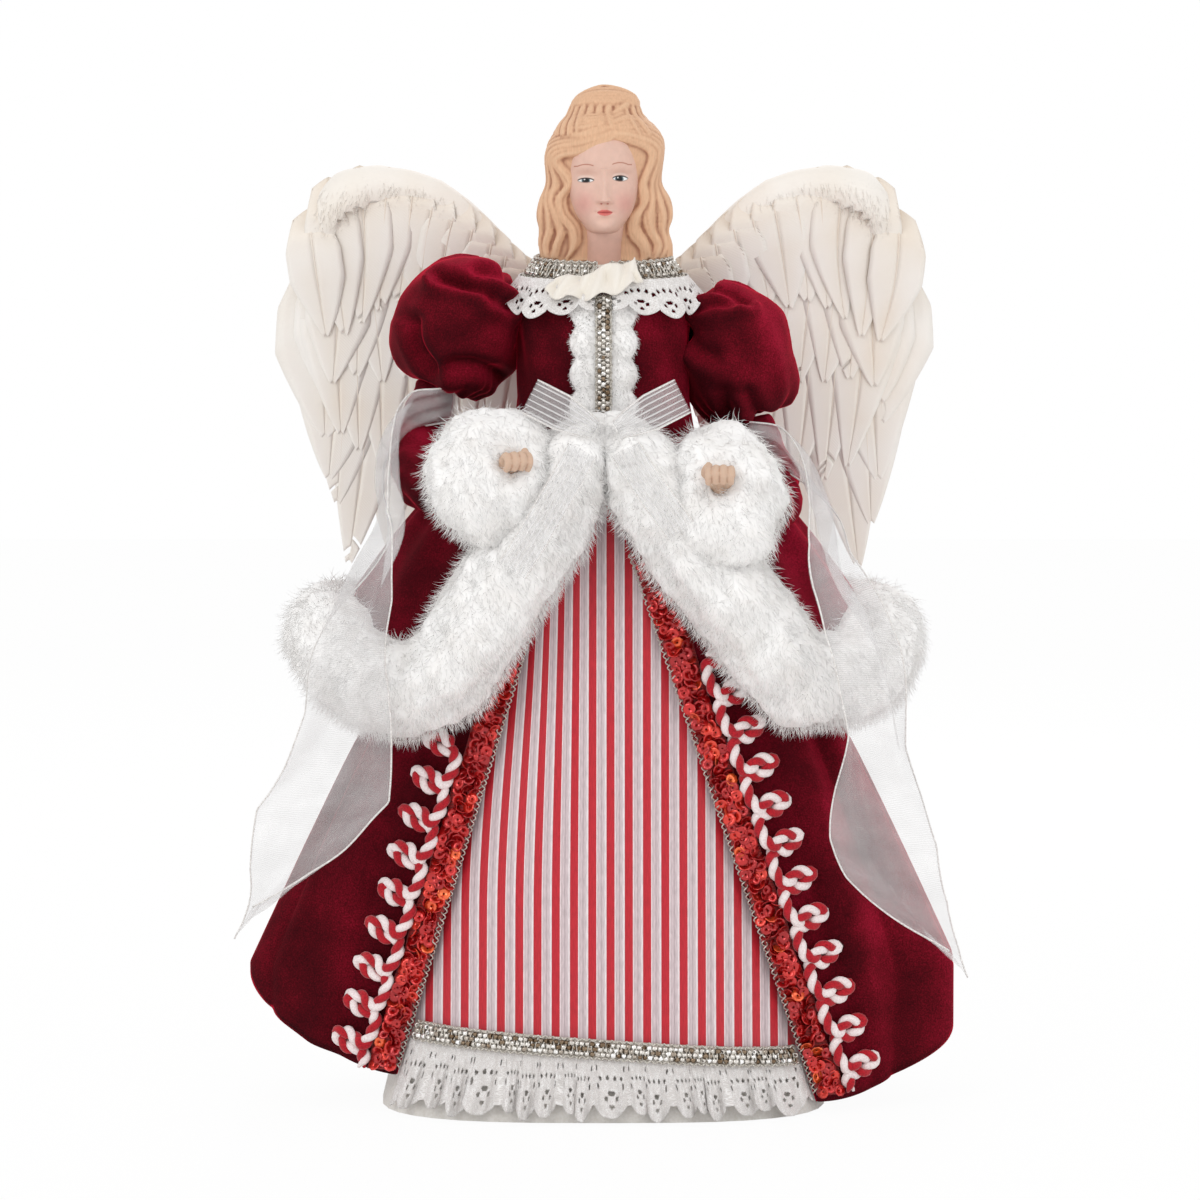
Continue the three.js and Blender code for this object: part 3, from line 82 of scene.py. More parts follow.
def add_node(tree, kind, inputs=None, ramp=(), **settings):
    """Adds one node with its settings, the stops of its ramp and its inputs."""
    made = tree.nodes.new(kind)
    for name, value in settings.items():
        setattr(made, name, value)
    if ramp:
        stops = made.color_ramp.elements
        stops.remove(stops[-1])
        stops[0].position, stops[0].color = ramp[0][0], srgb(ramp[0][1])
        for place, colour in ramp[1:]:
            stops.new(place).color = srgb(colour)
    set_inputs(made, tree, inputs or {})
    return made


def new_material(name, inputs):
    """A material named for what the real one is, with its tree and its surface."""
    made = bpy.data.materials.new(name)
    made.use_nodes = True
    tree = made.node_tree
    surface = next(n for n in tree.nodes if n.type == "BSDF_PRINCIPLED")
    set_inputs(surface, tree, inputs)
    return made, tree, surface


SKY_STRENGTH = 0.86
world = bpy.data.worlds.new("soft sky")
bpy.context.scene.world = world
world.use_nodes = True
sky = world.node_tree
sky.nodes.clear()
ray = add_node(sky, "ShaderNodeLightPath")
seen = add_node(sky, "ShaderNodeMath", {0: ray.outputs["Is Camera Ray"], 1: ray.outputs["Is Glossy Ray"]},
                operation="MAXIMUM")
seen = add_node(sky, "ShaderNodeMath", {0: seen, 1: ray.outputs["Is Transmission Ray"]}, operation="MAXIMUM")
strength = add_node(sky, "ShaderNodeMapRange", {"Value": seen, "To Min": SKY_STRENGTH, "To Max": 1.0})
light = add_node(sky, "ShaderNodeBackground", {"Color": srgb("#ffffff"), "Strength": strength})
add_node(sky, "ShaderNodeOutputWorld", {"Surface": light})

LAMPS = {
    # place and size in millimetres, then the power in watts
    "key_lamp": ((-900, -1300, 1100), 700, 5),
    "fill_lamp": ((1200, -1200, 700), 900, 2.5),
    "back_lamp": ((300, 1300, 1200), 900, 6),
}
for name, (place, size, watts) in LAMPS.items():
    data = bpy.data.lights.new(name, "AREA")
    data.size, data.energy = size * MM, watts
    lamp = bpy.data.objects.new(name, data)
    lamp.location = Vector(place) * MM
    lamp.rotation_euler = (lamp.location - AIM).to_track_quat("Z", "Y").to_euler()
    bpy.context.scene.collection.objects.link(lamp)

FLOOR_HALF = 4000 * MM
FLOOR_GLOW_SHARE = 0.95
floor_mesh = bpy.data.meshes.new("floor")
corners = [(-1, -1), (1, -1), (1, 1), (-1, 1)]
floor_mesh.from_pydata([(x * FLOOR_HALF, y * FLOOR_HALF, -0.2 * MM) for x, y in corners], [], [(0, 1, 2, 3)])
floor = bpy.data.objects.new("floor", floor_mesh)
bpy.context.scene.collection.objects.link(floor)
# Matt paper, which glows a little to the eye so that it fades into the white surround
paper, tree, surface = new_material("white paper floor", {"Base Color": srgb("#f6f5f4"), "Roughness": 0.95})
glow = add_node(tree, "ShaderNodeEmission", {"Color": srgb("#ffffff"), "Strength": 1.0})
ray = add_node(tree, "ShaderNodeLightPath")
seen = add_node(tree, "ShaderNodeMath", {0: ray.outputs["Is Camera Ray"], 1: ray.outputs["Is Glossy Ray"]},
                operation="MAXIMUM")
share = add_node(tree, "ShaderNodeMath", {0: seen, 1: FLOOR_GLOW_SHARE}, operation="MULTIPLY")
mixed = add_node(tree, "ShaderNodeMixShader", {0: share, 1: surface, 2: glow})
set_inputs(next(n for n in tree.nodes if n.type == "OUTPUT_MATERIAL"), tree, {"Surface": mixed})
floor.data.materials.append(paper)


# Cardboard cone
# A rolled tube of white-faced cardboard. It slides over the tip of the tree and carries all the rest.
def dress(piece, finish):
    """Gives a piece or a CAD node its finish, in place of what it had."""
    piece.data.materials.clear()
    piece.data.materials.append(finish)
    return piece


def new_mottled(name, inputs, scale, detail, stops, strength=0.0, depth=0.0):
    """A material mottled by one noise, with so many patches to the metre, and its bumps in millimetres."""
    made, tree, surface = new_material(name, inputs)
    where = add_node(tree, "ShaderNodeTexCoord").outputs["Object"]
    noise = add_node(tree, "ShaderNodeTexNoise", {"Vector": where, "Scale": scale, "Detail": detail})
    colour = add_node(tree, "ShaderNodeValToRGB", {"Fac": noise}, ramp=stops)
    set_inputs(surface, tree, {"Base Color": colour})
    if strength:
        bump = add_node(tree, "ShaderNodeBump", {
            "Height": noise, "Strength": strength, "Distance": depth * MM})
        set_inputs(surface, tree, {"Normal": bump})
    return made


# Cardboard is matt and off-white, with pulp fibres about a millimetre long
cardboard = new_mottled("white-faced cardboard, rolled", {"Roughness": 0.92}, 900.0, 4.0,
                        [(0.3, "#e4e0d9"), (0.7, "#f1eeea")], 0.4, 0.2)
dress(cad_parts["cone_form"], cardboard)

CONE_HEIGHT = 262
CONE_BASE = (89, 62)  # half width and half depth at the rim
CONE_TOP = (26, 20)
CONE_OVAL_POWER = 3
FIT = 0.3  # the gap that pieces keep where they touch


def mix(a, b, share):
    """A value between two others, at a share of the way."""
    return a + (b - a) * share


def ramp(x, start, end):
    """Rises smoothly from 0 at the start to 1 at the end."""
    t = np.clip((x - start) / (end - start), 0, 1)
    return t * t * (3 - 2 * t)


def stack(x, y, z):
    return np.stack(np.broadcast_arrays(x, y, z), axis=-1).astype(float)


def oval(half_width, half_depth, angle, power):
    """A squared oval, at an angle from the front, which is 0, towards the right."""
    s, c = np.sin(angle), np.cos(angle)
    x = half_width * np.sign(s) * np.abs(s) ** (2 / power)
    y = -half_depth * np.sign(c) * np.abs(c) ** (2 / power)
    return x, y


def cone_half(z):
    share = z / CONE_HEIGHT
    return mix(CONE_BASE[0], CONE_TOP[0], share), mix(CONE_BASE[1], CONE_TOP[1], share)


def on_cone(angle, z, out):
    w, d = cone_half(z)
    x, y = oval(w + out, d + out, angle, CONE_OVAL_POWER)
    return stack(x, y, z)


def on_cone_at(x, z, out):
    """The cone's front, at a distance from the middle."""
    w, _ = cone_half(z)
    share = np.clip(np.abs(x) / (w + out), 0, 1)
    return on_cone(np.sign(x) * np.arcsin(share ** (CONE_OVAL_POWER / 2)), z, out)


# Striped satin panel
# The front of the petticoat: red and silver woven stripes on a stiff backing, glued round the cone.
SATIN = 1.1
PANEL_TOP = CONE_HEIGHT - 5
PANEL_HEM = 25
PANEL_HALF_ANGLE = math.radians(82)
HEM_SLANT_SHARE = 0.065
STRIPE_PITCH = 7.15


def new_piece(name, points, faces, finish, corners_uv=None):
    """A piece from points in millimetres, with its place in its mesh and its UVs in metres."""
    mesh = bpy.data.meshes.new(name)
    mesh.from_pydata((np.asarray(points, float) * MM).tolist(), [], [list(map(int, f)) for f in faces])
    if corners_uv is not None:
        layer = mesh.uv_layers.new(name="cut")
        layer.data.foreach_set("uv", np.asarray(corners_uv, np.float32).ravel())
    mesh.shade_smooth()
    mesh.materials.append(finish)
    piece = bpy.data.objects.new(name, mesh)
    bpy.context.scene.collection.objects.link(piece)
    return piece


def fit_to(piece, nodes=(), body="angel"):
    """Says what a piece rides on, and hides the CAD nodes it stands for."""
    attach(piece, body)
    if nodes:
        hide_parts(*nodes)
    return piece


def volume_sign(points, faces):
    """1 where the faces point outwards and -1 where they point inwards."""
    a, b, c = (points[[f[i] for f in faces]] for i in (0, 1, 2))
    return 1 if np.einsum("ij,ij->", a, np.cross(b, c)) > 0 else -1


def new_sheet(name, columns, rows, outer, inner, flat, finish, closed=False):
    """A sheet with two faces, each a function of u and v from 0 to 1, and the edges between them."""
    wide = columns if closed else columns + 1
    u, v = np.meshgrid(np.arange(wide) / columns, np.arange(rows + 1) / rows)
    points = np.concatenate([outer(u, v).reshape(-1, 3), inner(u, v).reshape(-1, 3)])
    back = wide * (rows + 1)
    quads = []
    for c in range(columns):
        for r in range(rows):
            front = [(r, c, 0), (r, c + 1, 0), (r + 1, c + 1, 0), (r + 1, c, 0)]
            quads.append(front)
            quads.append([(r, c, back) for r, c, _ in reversed(front)])
        quads.append([(0, c + 1, 0), (0, c, 0), (0, c, back), (0, c + 1, back)])
        quads.append([(rows, c, 0), (rows, c + 1, 0), (rows, c + 1, back), (rows, c, back)])
    if not closed:
        for r in range(rows):
            quads.append([(r, 0, 0), (r + 1, 0, 0), (r + 1, 0, back), (r, 0, back)])
            quads.append([(r + 1, columns, 0), (r, columns, 0), (r, columns, back), (r + 1, columns, back)])
    faces = [[r * wide + c % wide + side for r, c, side in quad] for quad in quads]
    if volume_sign(points, faces) < 0:
        faces = [face[::-1] for face in faces]
        quads = [quad[::-1] for quad in quads]
    size = np.array(flat) * MM
    uvs = [(c / columns * size[0], r / rows * size[1]) for quad in quads for r, c, _ in quad]
    return new_piece(name, points, faces, finish, uvs)


def panel_face(out):
    def face(u, v):
        angle = mix(-PANEL_HALF_ANGLE, PANEL_HALF_ANGLE, u)
        foot = PANEL_HEM - HEM_SLANT_SHARE * on_cone(angle, PANEL_HEM, out)[..., 0]
        z = mix(foot, PANEL_TOP, v)
        # The satin is caught in at the waist, so shallow folds run down from there
        fold = 0.35 * np.sin(23 * angle + 2 * np.sin(5 * angle)) * ramp(v, 0, 1)
        return on_cone(angle, z, out + np.where(out > FIT, fold, 0))
    return face


# Satin shines softly, because its long threads lie flat
satin, tree, surface = new_material(
    "woven satin with metal thread", {"Roughness": 0.42, "Specular IOR Level": 0.3, "Anisotropic": 0.3})
where = add_node(tree, "ShaderNodeUVMap", uv_map="stripes")
place = add_node(tree, "ShaderNodeSeparateXYZ", {0: where})
cut = add_node(tree, "ShaderNodeMath", {0: place.outputs["X"], 1: STRIPE_PITCH * MM},
               operation="FLOORED_MODULO")
across = add_node(tree, "ShaderNodeMath", {0: cut, 1: STRIPE_PITCH * MM}, operation="DIVIDE")
stripes = add_node(tree, "ShaderNodeValToRGB", {"Fac": across}, ramp=[
    (0.0, "#bd2431"), (0.43, "#c42a36"), (0.445, "#efe6e7"), (0.49, "#e2d3d5"), (0.51, "#c9b6b9"),
    (0.64, "#d6c5c8"), (0.71, "#b9a7aa"), (0.75, "#cfbec1"), (0.87, "#d3c3c6"), (0.93, "#eee6e7"),
    (0.985, "#e6d8da"), (1.0, "#bd2431")])
# Short lengths of metal thread catch the light here and there, as painted glints: streaks a little lighter
# and darker in the colour
stretched = add_node(tree, "ShaderNodeMapping", {"Vector": where, "Scale": (2600.0, 240.0, 1.0)})
glint = add_node(tree, "ShaderNodeTexNoise", {"Vector": stretched, "Scale": 1.0, "Detail": 2.0})
spark = add_node(tree, "ShaderNodeMapRange", {"Value": glint, "From Min": 0.36, "From Max": 0.62,
                                              "To Min": 0.86, "To Max": 1.07})
tint = add_node(tree, "ShaderNodeVectorMath", {0: stripes, 3: spark}, operation="SCALE")
thread = add_node(tree, "ShaderNodeTexNoise", {"Vector": where, "Scale": 3500.0, "Detail": 1.0})
bump = add_node(tree, "ShaderNodeBump", {"Height": thread, "Strength": 0.15, "Distance": 0.1 * MM})
set_inputs(surface, tree, {"Base Color": tint, "Normal": bump})

panel = new_sheet("satin_panel", 180, 70, panel_face(FIT + SATIN), panel_face(FIT), (290, 232), satin)
# The stripes hang straight, and lean in a little towards the waist on the left
layer = panel.data.uv_layers.new(name="stripes")
places = np.array([v.co for v in panel.data.vertices]) / MM
lean = 1 - 0.2 * ramp(places[:, 2], 80, 235) * ramp(-places[:, 0], -6, 34)
along = np.stack([(places[:, 0] - 1.2) / lean, places[:, 2]], axis=-1) * MM
loops = np.array([loop.vertex_index for loop in panel.data.loops])
layer.data.foreach_set("uv", along[loops].astype(np.float32).ravel())
fit_to(panel, ["striped_panel"])

# Velvet robe
# The long overskirt, open in front: cotton velvet with its lining, gathered at the waist into deep folds.
VELVET = 1.8
ROBE_TOP = 240
ROBE_TOP_HALF = (36, 27.5)
ROBE_HEM_HALF = (132, 70)
ROBE_FLARE_POWER = 0.86
ROBE_HEMS = (9.5, 56, 26)  # height of the hem in front, at the side and behind
ROBE_HEM_POWER = 1.7
ROBE_FOLDS = 10
ROBE_FOLD_DEPTH = 7
ROBE_PLAIN = 24  # the flat stretch beside each front edge
ROBE_HANGING_FOLDS = 9.5
ROBE_HANGING_DEPTH = 4.8
ROBE_HANGING_FROM = (22, 34)
# How far each front edge is from the middle at the hem and at the top, and its side
EDGES = {"left": (83, 13, -1), "right": (82, 4, 1)}
ROBE_IN = FIT + SATIN + 3 * FIT


def edge_distance(edge, z):
    return mix(edge[0], edge[1], (z - ROBE_HEMS[0]) / (ROBE_TOP - ROBE_HEMS[0]))


def robe_drop(z):
    return np.clip((ROBE_TOP - z) / (ROBE_TOP - ROBE_HEMS[1]), 0, 1)


def robe_half_width(z):
    return mix(ROBE_TOP_HALF[0], ROBE_HEM_HALF[0], robe_drop(z) ** ROBE_FLARE_POWER)


def robe_power(z):
    return mix(CONE_OVAL_POWER, 2, robe_drop(z))


def robe_angle(x, z):
    return np.arcsin(np.clip(x / robe_half_width(z), 0, 1) ** (robe_power(z) / 2))


def robe_front_depth(edge, z):
    x = edge_distance(edge, z)
    meeting = -on_cone_at(x, z, ROBE_IN)[..., 1]
    power = robe_power(z)
    return meeting / (1 - (x / robe_half_width(z)) ** power) ** (1 / power)


def robe_hem(side, angle, edge_angle):
    front, beside, behind = ROBE_HEMS
    to_side = np.clip((angle - edge_angle) / (math.pi / 2 - edge_angle), 0, 1) ** ROBE_HEM_POWER
    level = mix(mix(front, beside, to_side), behind, ramp(angle, math.pi / 2, math.pi))
    x = side * np.sin(angle) * robe_half_width(level)
    return level - HEM_SLANT_SHARE * x * (1 - to_side / 2)


def on_robe(edge, angle, z, out, creases=0.0):
    """A point of the robe, at an angle from the front towards its side. Trims lie without its creases."""
    depth = np.where(np.cos(angle) > 0, robe_front_depth(edge, z),
                     mix(ROBE_TOP_HALF[1], ROBE_HEM_HALF[1], robe_drop(z)))
    w = robe_half_width(z)
    beside = w * np.where(angle < math.pi / 2, np.sin(angle), 1) - edge_distance(edge, z)
    loose = ramp(beside, ROBE_PLAIN, 2 * ROBE_PLAIN) + ramp(angle, math.pi / 2, math.pi / 1.5)
    drop = robe_drop(z)
    wave = 0.5 + np.cos(ROBE_FOLDS * angle) / 2
    fold = np.minimum(loose, 1) * drop * ROBE_FOLD_DEPTH * wave
    # Narrower folds start at the waist and die out on the way down
    small = np.sin(27 * angle + edge[2] * 1.3 + 3 * drop)
    small = small * ramp(drop, 0, 0.25) * (1 - 0.7 * ramp(drop, 0.3, 1))
    # Wide soft folds hang free beside the trims, and their hollows are sharper than their crests
    wander = ROBE_HANGING_FOLDS * angle + 1.1 * np.sin(3 * angle + edge[2]) + 0.6 * drop
    hanging = np.abs(np.sin(wander)) ** 0.8 * ramp(drop, 0.05, 0.6) * ramp(beside, *ROBE_HANGING_FROM)
    fold = fold + creases * (np.minimum(loose, 1) * (1 + small) + ROBE_HANGING_DEPTH * hanging)
    x, y = oval(w + out + fold, depth + out + fold, angle, robe_power(z))
    return stack(edge[2] * x, y, z)


def robe_face(out):
    def face(u, v):
        edge = [np.where(u < 0.5, r, l) for r, l in zip(EDGES["right"], EDGES["left"])]
        share = 1 - np.abs(2 * u - 1)
        low = robe_angle(edge_distance(edge, ROBE_HEMS[0]), ROBE_HEMS[0])
        foot = robe_hem(edge[2], mix(low, math.pi, share), low)
        z = mix(ROBE_TOP, foot, v)
        start = robe_angle(edge_distance(edge, z), z)
        return on_robe(edge, mix(start, math.pi, share), z, out, creases=1.0)
    return face


# Velvet is dark where its pile stands towards the eye, and light along its folds' rims
LIT_SIDE_WAY = (0.5, 0.15, 0.75)
LIT_SIDE_SHARE = 0.5
velvet, tree, surface = new_material(
    "cotton velvet, crimson pile",
    {"Roughness": 0.9, "Specular IOR Level": 0.1, "Sheen Weight": 0.9, "Sheen Roughness": 0.28,
     "Sheen Tint": srgb("#ff2046")})
where = add_node(tree, "ShaderNodeTexCoord").outputs
# The pile leans in patches as wide as a finger, and its tufts are about 0.6 mm apart
patches = add_node(tree, "ShaderNodeTexNoise", {"Vector": where["Object"], "Scale": 45.0, "Detail": 4.0})
pile = add_node(tree, "ShaderNodeTexNoise", {"Vector": where["Object"], "Scale": 1700.0, "Detail": 2.0})
lean = add_node(tree, "ShaderNodeMath", {0: patches, 1: pile}, operation="ADD")
# Each fold's colour is painted lighter on the side that turns up and to the right, a painted highlight, and
# darker on the side turned away, a painted shade
lit_side = add_node(tree, "ShaderNodeVectorMath", {0: where["Normal"], 1: LIT_SIDE_WAY}, operation="DOT_PRODUCT")
lit_side = add_node(tree, "ShaderNodeMath", {0: lit_side.outputs["Value"], 1: LIT_SIDE_SHARE}, operation="MULTIPLY")
lean = add_node(tree, "ShaderNodeMath", {0: lean, 1: lit_side}, operation="ADD")
half = add_node(tree, "ShaderNodeMath", {0: lean, 1: 0.5}, operation="MULTIPLY")
colour = add_node(tree, "ShaderNodeValToRGB", {"Fac": half}, ramp=[
    (0.24, "#2b0107"), (0.44, "#4e0410"), (0.56, "#690719"), (0.8, "#a11532")])
bump = add_node(tree, "ShaderNodeBump", {"Height": pile, "Strength": 0.35, "Distance": 0.3 * MM})
set_inputs(surface, tree, {"Base Color": colour, "Normal": bump})

robe = new_sheet("velvet_overskirt", 360, 72, robe_face(VELVET), robe_face(FIT), (700, 240), velvet)
fit_to(robe, ["velvet_robe"])

# Lace ruffle at the hem
# White cotton lace, gathered under the braid. Its soft pleats end in rounded points, pierced with eyelets.
LACE = 0.5
HEM_EDGE_GAP = 0.6
HEM_LACE_RISE = 4
HEM_LACE_FOOT = 1.3
HEM_LACE_SLANT_SHARE = 0.006
HEM_LACE_FLARE = 5.2
HEM_LACE_POINTS = 19
HEM_LACE_NOTCH = 6.5
HEM_EYELET_SHARES = [
    # place across and down each point, then half width and half height. Those beside its middle come in pairs
    (0.1, 0.43, 0.05, 0.032), (0.3, 0.46, 0.05, 0.032), (0, 0.64, 0.1, 0.035), (0.14, 0.73, 0.045, 0.035),
    (0, 0.83, 0.07, 0.03), (0.36, 0.6, 0.035, 0.05), (0.42, 0.33, 0.03, 0.05)]
HEADING_OUT = FIT + SATIN + FIT + 0.9


def finished(piece):
    """Applies a piece's modifiers, so that it is a plain mesh."""
    view = bpy.context.evaluated_depsgraph_get()
    mesh = bpy.data.meshes.new_from_object(
        piece.evaluated_get(view), preserve_all_data_layers=True, depsgraph=view)
    piece.modifiers.clear()
    piece.data = mesh
    piece.data.shade_smooth()
    return piece


def whole(u, v):
    return np.ones(u.shape, bool)


def new_cloth(name, columns, rows, face, thickness, flat, finish, kept=whole):
    """A thin cloth through the middle of its thickness, without the cells that aren't kept."""
    u, v = np.meshgrid(np.arange(columns + 1) / columns, np.arange(rows + 1) / rows)
    points = face(u, v).reshape(-1, 3)
    r, c = np.meshgrid(np.arange(rows), np.arange(columns), indexing="ij")
    cells = kept((c + 0.5) / columns, (r + 0.5) / rows)
    r, c = r[cells], c[cells]
    corner = [(r, c), (r, c + 1), (r + 1, c + 1), (r + 1, c)]
    faces = np.stack([a * (columns + 1) + b for a, b in corner], axis=-1)
    size = np.array(flat) * MM
    uvs = [np.stack([b / columns * size[0], a / rows * size[1]], axis=-1) for a, b in corner]
    used, faces = np.unique(faces, return_inverse=True)
    piece = new_piece(name, points[used], faces.reshape(-1, 4), finish, np.stack(uvs, axis=1).reshape(-1, 2))
    wall = piece.modifiers.new("wall", "SOLIDIFY")
    wall.thickness, wall.offset = thickness * MM, 0
    return finished(piece)


def hem_place(u, z):
    left, right = (edge[2] * (edge_distance(edge, z) - HEM_EDGE_GAP) for edge in EDGES.values())
    return mix(left, right, u)


def slanted_hem(x):
    return PANEL_HEM - HEM_SLANT_SHARE * x


def lace_wander(u):
    """The points of the lace are of uneven widths."""
    return HEM_LACE_POINTS * (u + 0.012 * np.sin(17 * u) + 0.007 * np.sin(41 * u + 1))


def lace_face(u, v):
    wander = lace_wander(u)
    point = np.abs(np.cos(math.pi * wander)) ** 0.75
    deep = 0.75 + 0.25 * np.sin(2.1 * np.round(wander) + 1)
    heading = slanted_hem(hem_place(u, PANEL_HEM)) + HEM_LACE_RISE
    notch = HEM_LACE_NOTCH * (1 - point * deep)
    foot = HEM_LACE_FOOT - HEM_LACE_SLANT_SHARE * hem_place(u, HEM_LACE_FOOT) + notch
    z = mix(heading, foot, v)
    ends = ramp(u, 0, 0.03) * ramp(1 - u, 0, 0.03)
    waves = 0.55 + 0.45 * np.cos(2 * math.pi * wander + 0.8 * np.sin(9 * u) + 1.3 * v)
    small = 0.5 * np.sin(math.pi * 6 * wander) * ramp(v, 0.1, 0.5)
    sideways = 1.6 * v * np.sin(2.3 * np.round(wander) + 2)
    stand = ends * (ramp(v, 0.12, 1) * HEM_LACE_FLARE * waves + small)
    return on_cone_at(hem_place(u, z) + ends * sideways, z, HEADING_OUT - LACE / 2 + stand)


def pierced(wander, v, eyelets):
    """Where a row of like points isn't pierced by the eyelets that each of them has."""
    across = np.abs(wander - np.floor(wander) - 0.5)
    holes = np.zeros(v.shape, bool)
    for x, y, wide, high in eyelets:
        holes |= ((across - x) / wide) ** 2 + ((v - y) / high) ** 2 < 1
    return ~holes


def lace_kept(u, v):
    return pierced(lace_wander(u) + 0.5, v, HEM_EYELET_SHARES)


# Cotton lace is matt and lets a little light through, so its hollows stay pale
lace_white, tree, surface = new_material(
    "cotton lace, white", {"Roughness": 0.9, "Specular IOR Level": 0.2, "Sheen Weight": 0.2,
                           "Subsurface Weight": 0.15, "Subsurface Radius": (0.002, 0.002, 0.002)})
cloth = add_node(tree, "ShaderNodeUVMap", uv_map="cut")
# Threads about 0.4 mm apart, with raised cords every few millimetres
net = add_node(tree, "ShaderNodeTexVoronoi", {"Vector": cloth, "Scale": 1400.0}, feature="DISTANCE_TO_EDGE")
mesh = add_node(tree, "ShaderNodeMapRange", {"Value": net.outputs["Distance"], "From Max": 0.25})
mottle = add_node(tree, "ShaderNodeTexNoise", {"Vector": cloth, "Scale": 260.0, "Detail": 3.0})
both = add_node(tree, "ShaderNodeMath", {0: mottle, 1: mesh}, operation="SUBTRACT")
colour = add_node(tree, "ShaderNodeValToRGB", {"Fac": both}, ramp=[
    (0.0, "#dcd8d5"), (0.25, "#f0edeb"), (0.6, "#fcfbfa")])
bump = add_node(tree, "ShaderNodeBump", {"Height": both, "Strength": 0.5, "Distance": 0.25 * MM})
set_inputs(surface, tree, {"Base Color": colour, "Normal": bump})

hem_lace = new_cloth("hem_lace_ruffle", 560, 46, lace_face, LACE, (300, 24), lace_white, lace_kept)
fit_to(hem_lace, ["hem_lace"])

# Silver braid over the hem's seam
# Flat metallic braid, sewn along the hem: rows of faceted beads between wavy metal threads on a woven ground.
HEM_BRAID_HEIGHT = 7.5
BRAID_ROWS = 3
BRAID_WAVE = 3.1
THREAD_STEP = 0.5
BEAD_SHARES = [
    # the outline of a bored bead: places along its axis and distances from it, for a radius of 1
    (-0.57, 0.45), (-0.95, 0.75), (-0.665, 1), (0.665, 1), (0.95, 0.75), (0.57, 0.45)]
BRAID_OUT = HEADING_OUT + 2 * FIT


def on_hem(u, up, out):
    z = slanted_hem(hem_place(u, PANEL_HEM)) + up
    return on_cone_at(hem_place(u, z), z, BRAID_OUT + out)


def frames_on(face, u, v, step=2e-3):
    """Points of a face with their normals and the directions along u, all by small steps."""
    along = face(u + step, v) - face(u - step, v)
    up = face(u, v + step) - face(u, v - step)
    along /= np.linalg.norm(along, axis=-1, keepdims=True)
    normal = np.cross(along, up)
    normal /= np.linalg.norm(normal, axis=-1, keepdims=True)
    return face(u, v), normal, along


def turns_of(normals, alongs, tilts):
    """Euler angles that bring Z to the normal and X along, after a tilt of each one about its own axes."""
    turns = []
    for n, a, tilt in zip(normals, alongs, tilts):
        n, a = Vector(n), Vector(a)
        side = n.cross(a)
        turn = Matrix((side.cross(n), side, n)).transposed() @ Euler(tilt).to_matrix()
        turns.append(tuple(turn.to_euler()))
    return turns


def new_tree(name, sockets):
    """A tree of geometry nodes with its named inputs and its output."""
    made = bpy.data.node_groups.new(name, "GeometryNodeTree")
    for title, kind in [("Geometry", "Geometry"), ("Shape", "Object"), ("Finish", "Material")] + sockets:
        made.interface.new_socket(title, in_out="INPUT", socket_type="NodeSocket" + kind)
    made.interface.new_socket("Geometry", in_out="OUTPUT", socket_type="NodeSocketGeometry")
    given = add_node(made, "NodeGroupInput").outputs
    shape = add_node(made, "GeometryNodeObjectInfo", {"Object": given["Shape"]}).outputs["Geometry"]
    return made, given, shape


def end_tree(made, copies, finish):
    """Ends a tree: its copies become one mesh in one finish."""
    real = add_node(made, "GeometryNodeRealizeInstances", {"Geometry": copies})
    real = add_node(made, "GeometryNodeSetMaterial", {"Geometry": real, "Material": finish})
    add_node(made, "NodeGroupOutput", {"Geometry": real})
    return made


def copies_tree():
    """A tree that sets a copy of a shape on each marked point, turned, sized and tinted as the point says."""
    made, given, shape = new_tree("sewn_copies", [("Size", "Float")])
    turn = add_node(made, "GeometryNodeInputNamedAttribute", {"Name": "turn"}, data_type="FLOAT_VECTOR")
    turn = add_node(made, "FunctionNodeEulerToRotation", {"Euler": turn})
    size = add_node(made, "GeometryNodeInputNamedAttribute", {"Name": "size"}, data_type="FLOAT")
    size = add_node(made, "ShaderNodeMath", {0: size, 1: given["Size"]}, operation="MULTIPLY")
    sewn = add_node(made, "GeometryNodeInstanceOnPoints", {
        "Points": given["Geometry"], "Instance": shape, "Rotation": turn, "Scale": size})
    return end_tree(made, sewn, given["Finish"])


sewn_copies = copies_tree()


def run_tree(piece, tree, shape, **values):
    """Runs a tree on a piece, its inputs set by their identifiers. The shape then leaves the scene."""
    modifier = piece.modifiers.new("tree", "NODES")
    modifier.node_group = tree
    values["Shape"] = shape
    for item in tree.interface.items_tree:
        if item.in_out == "INPUT" and item.name in values:
            modifier[item.identifier] = values[item.name]
    finished(piece)
    bpy.data.objects.remove(shape)
    return piece


def mark(piece, name, values):
    """Gives each point of a piece a number that its finish or a tree reads."""
    layer = piece.data.attributes.new(name, "FLOAT", "POINT")
    layer.data.foreach_set("value", np.asarray(values, np.float32))


def new_copies(name, shape, size, places, turns, sizes, tints, finish):
    """One piece of copies of a shape, each with its own place, turn, share of the size and tint."""
    piece = new_piece(name, places, [], finish)
    layer = piece.data.attributes.new("turn", "FLOAT_VECTOR", "POINT")
    layer.data.foreach_set("vector", np.asarray(turns, np.float32).ravel())
    mark(piece, "size", sizes)
    mark(piece, "tint", tints)
    return run_tree(piece, sewn_copies, shape, Size=float(size), Finish=finish)


def joined(name, pieces):
    """One piece of several, under a new name."""
    for other in bpy.context.selected_objects:
        other.select_set(False)
    for piece in pieces:
        piece.select_set(True)
    bpy.context.view_layer.objects.active = pieces[0]
    bpy.ops.object.join()
    pieces[0].name = name
    pieces[0].select_set(False)
    return pieces[0]


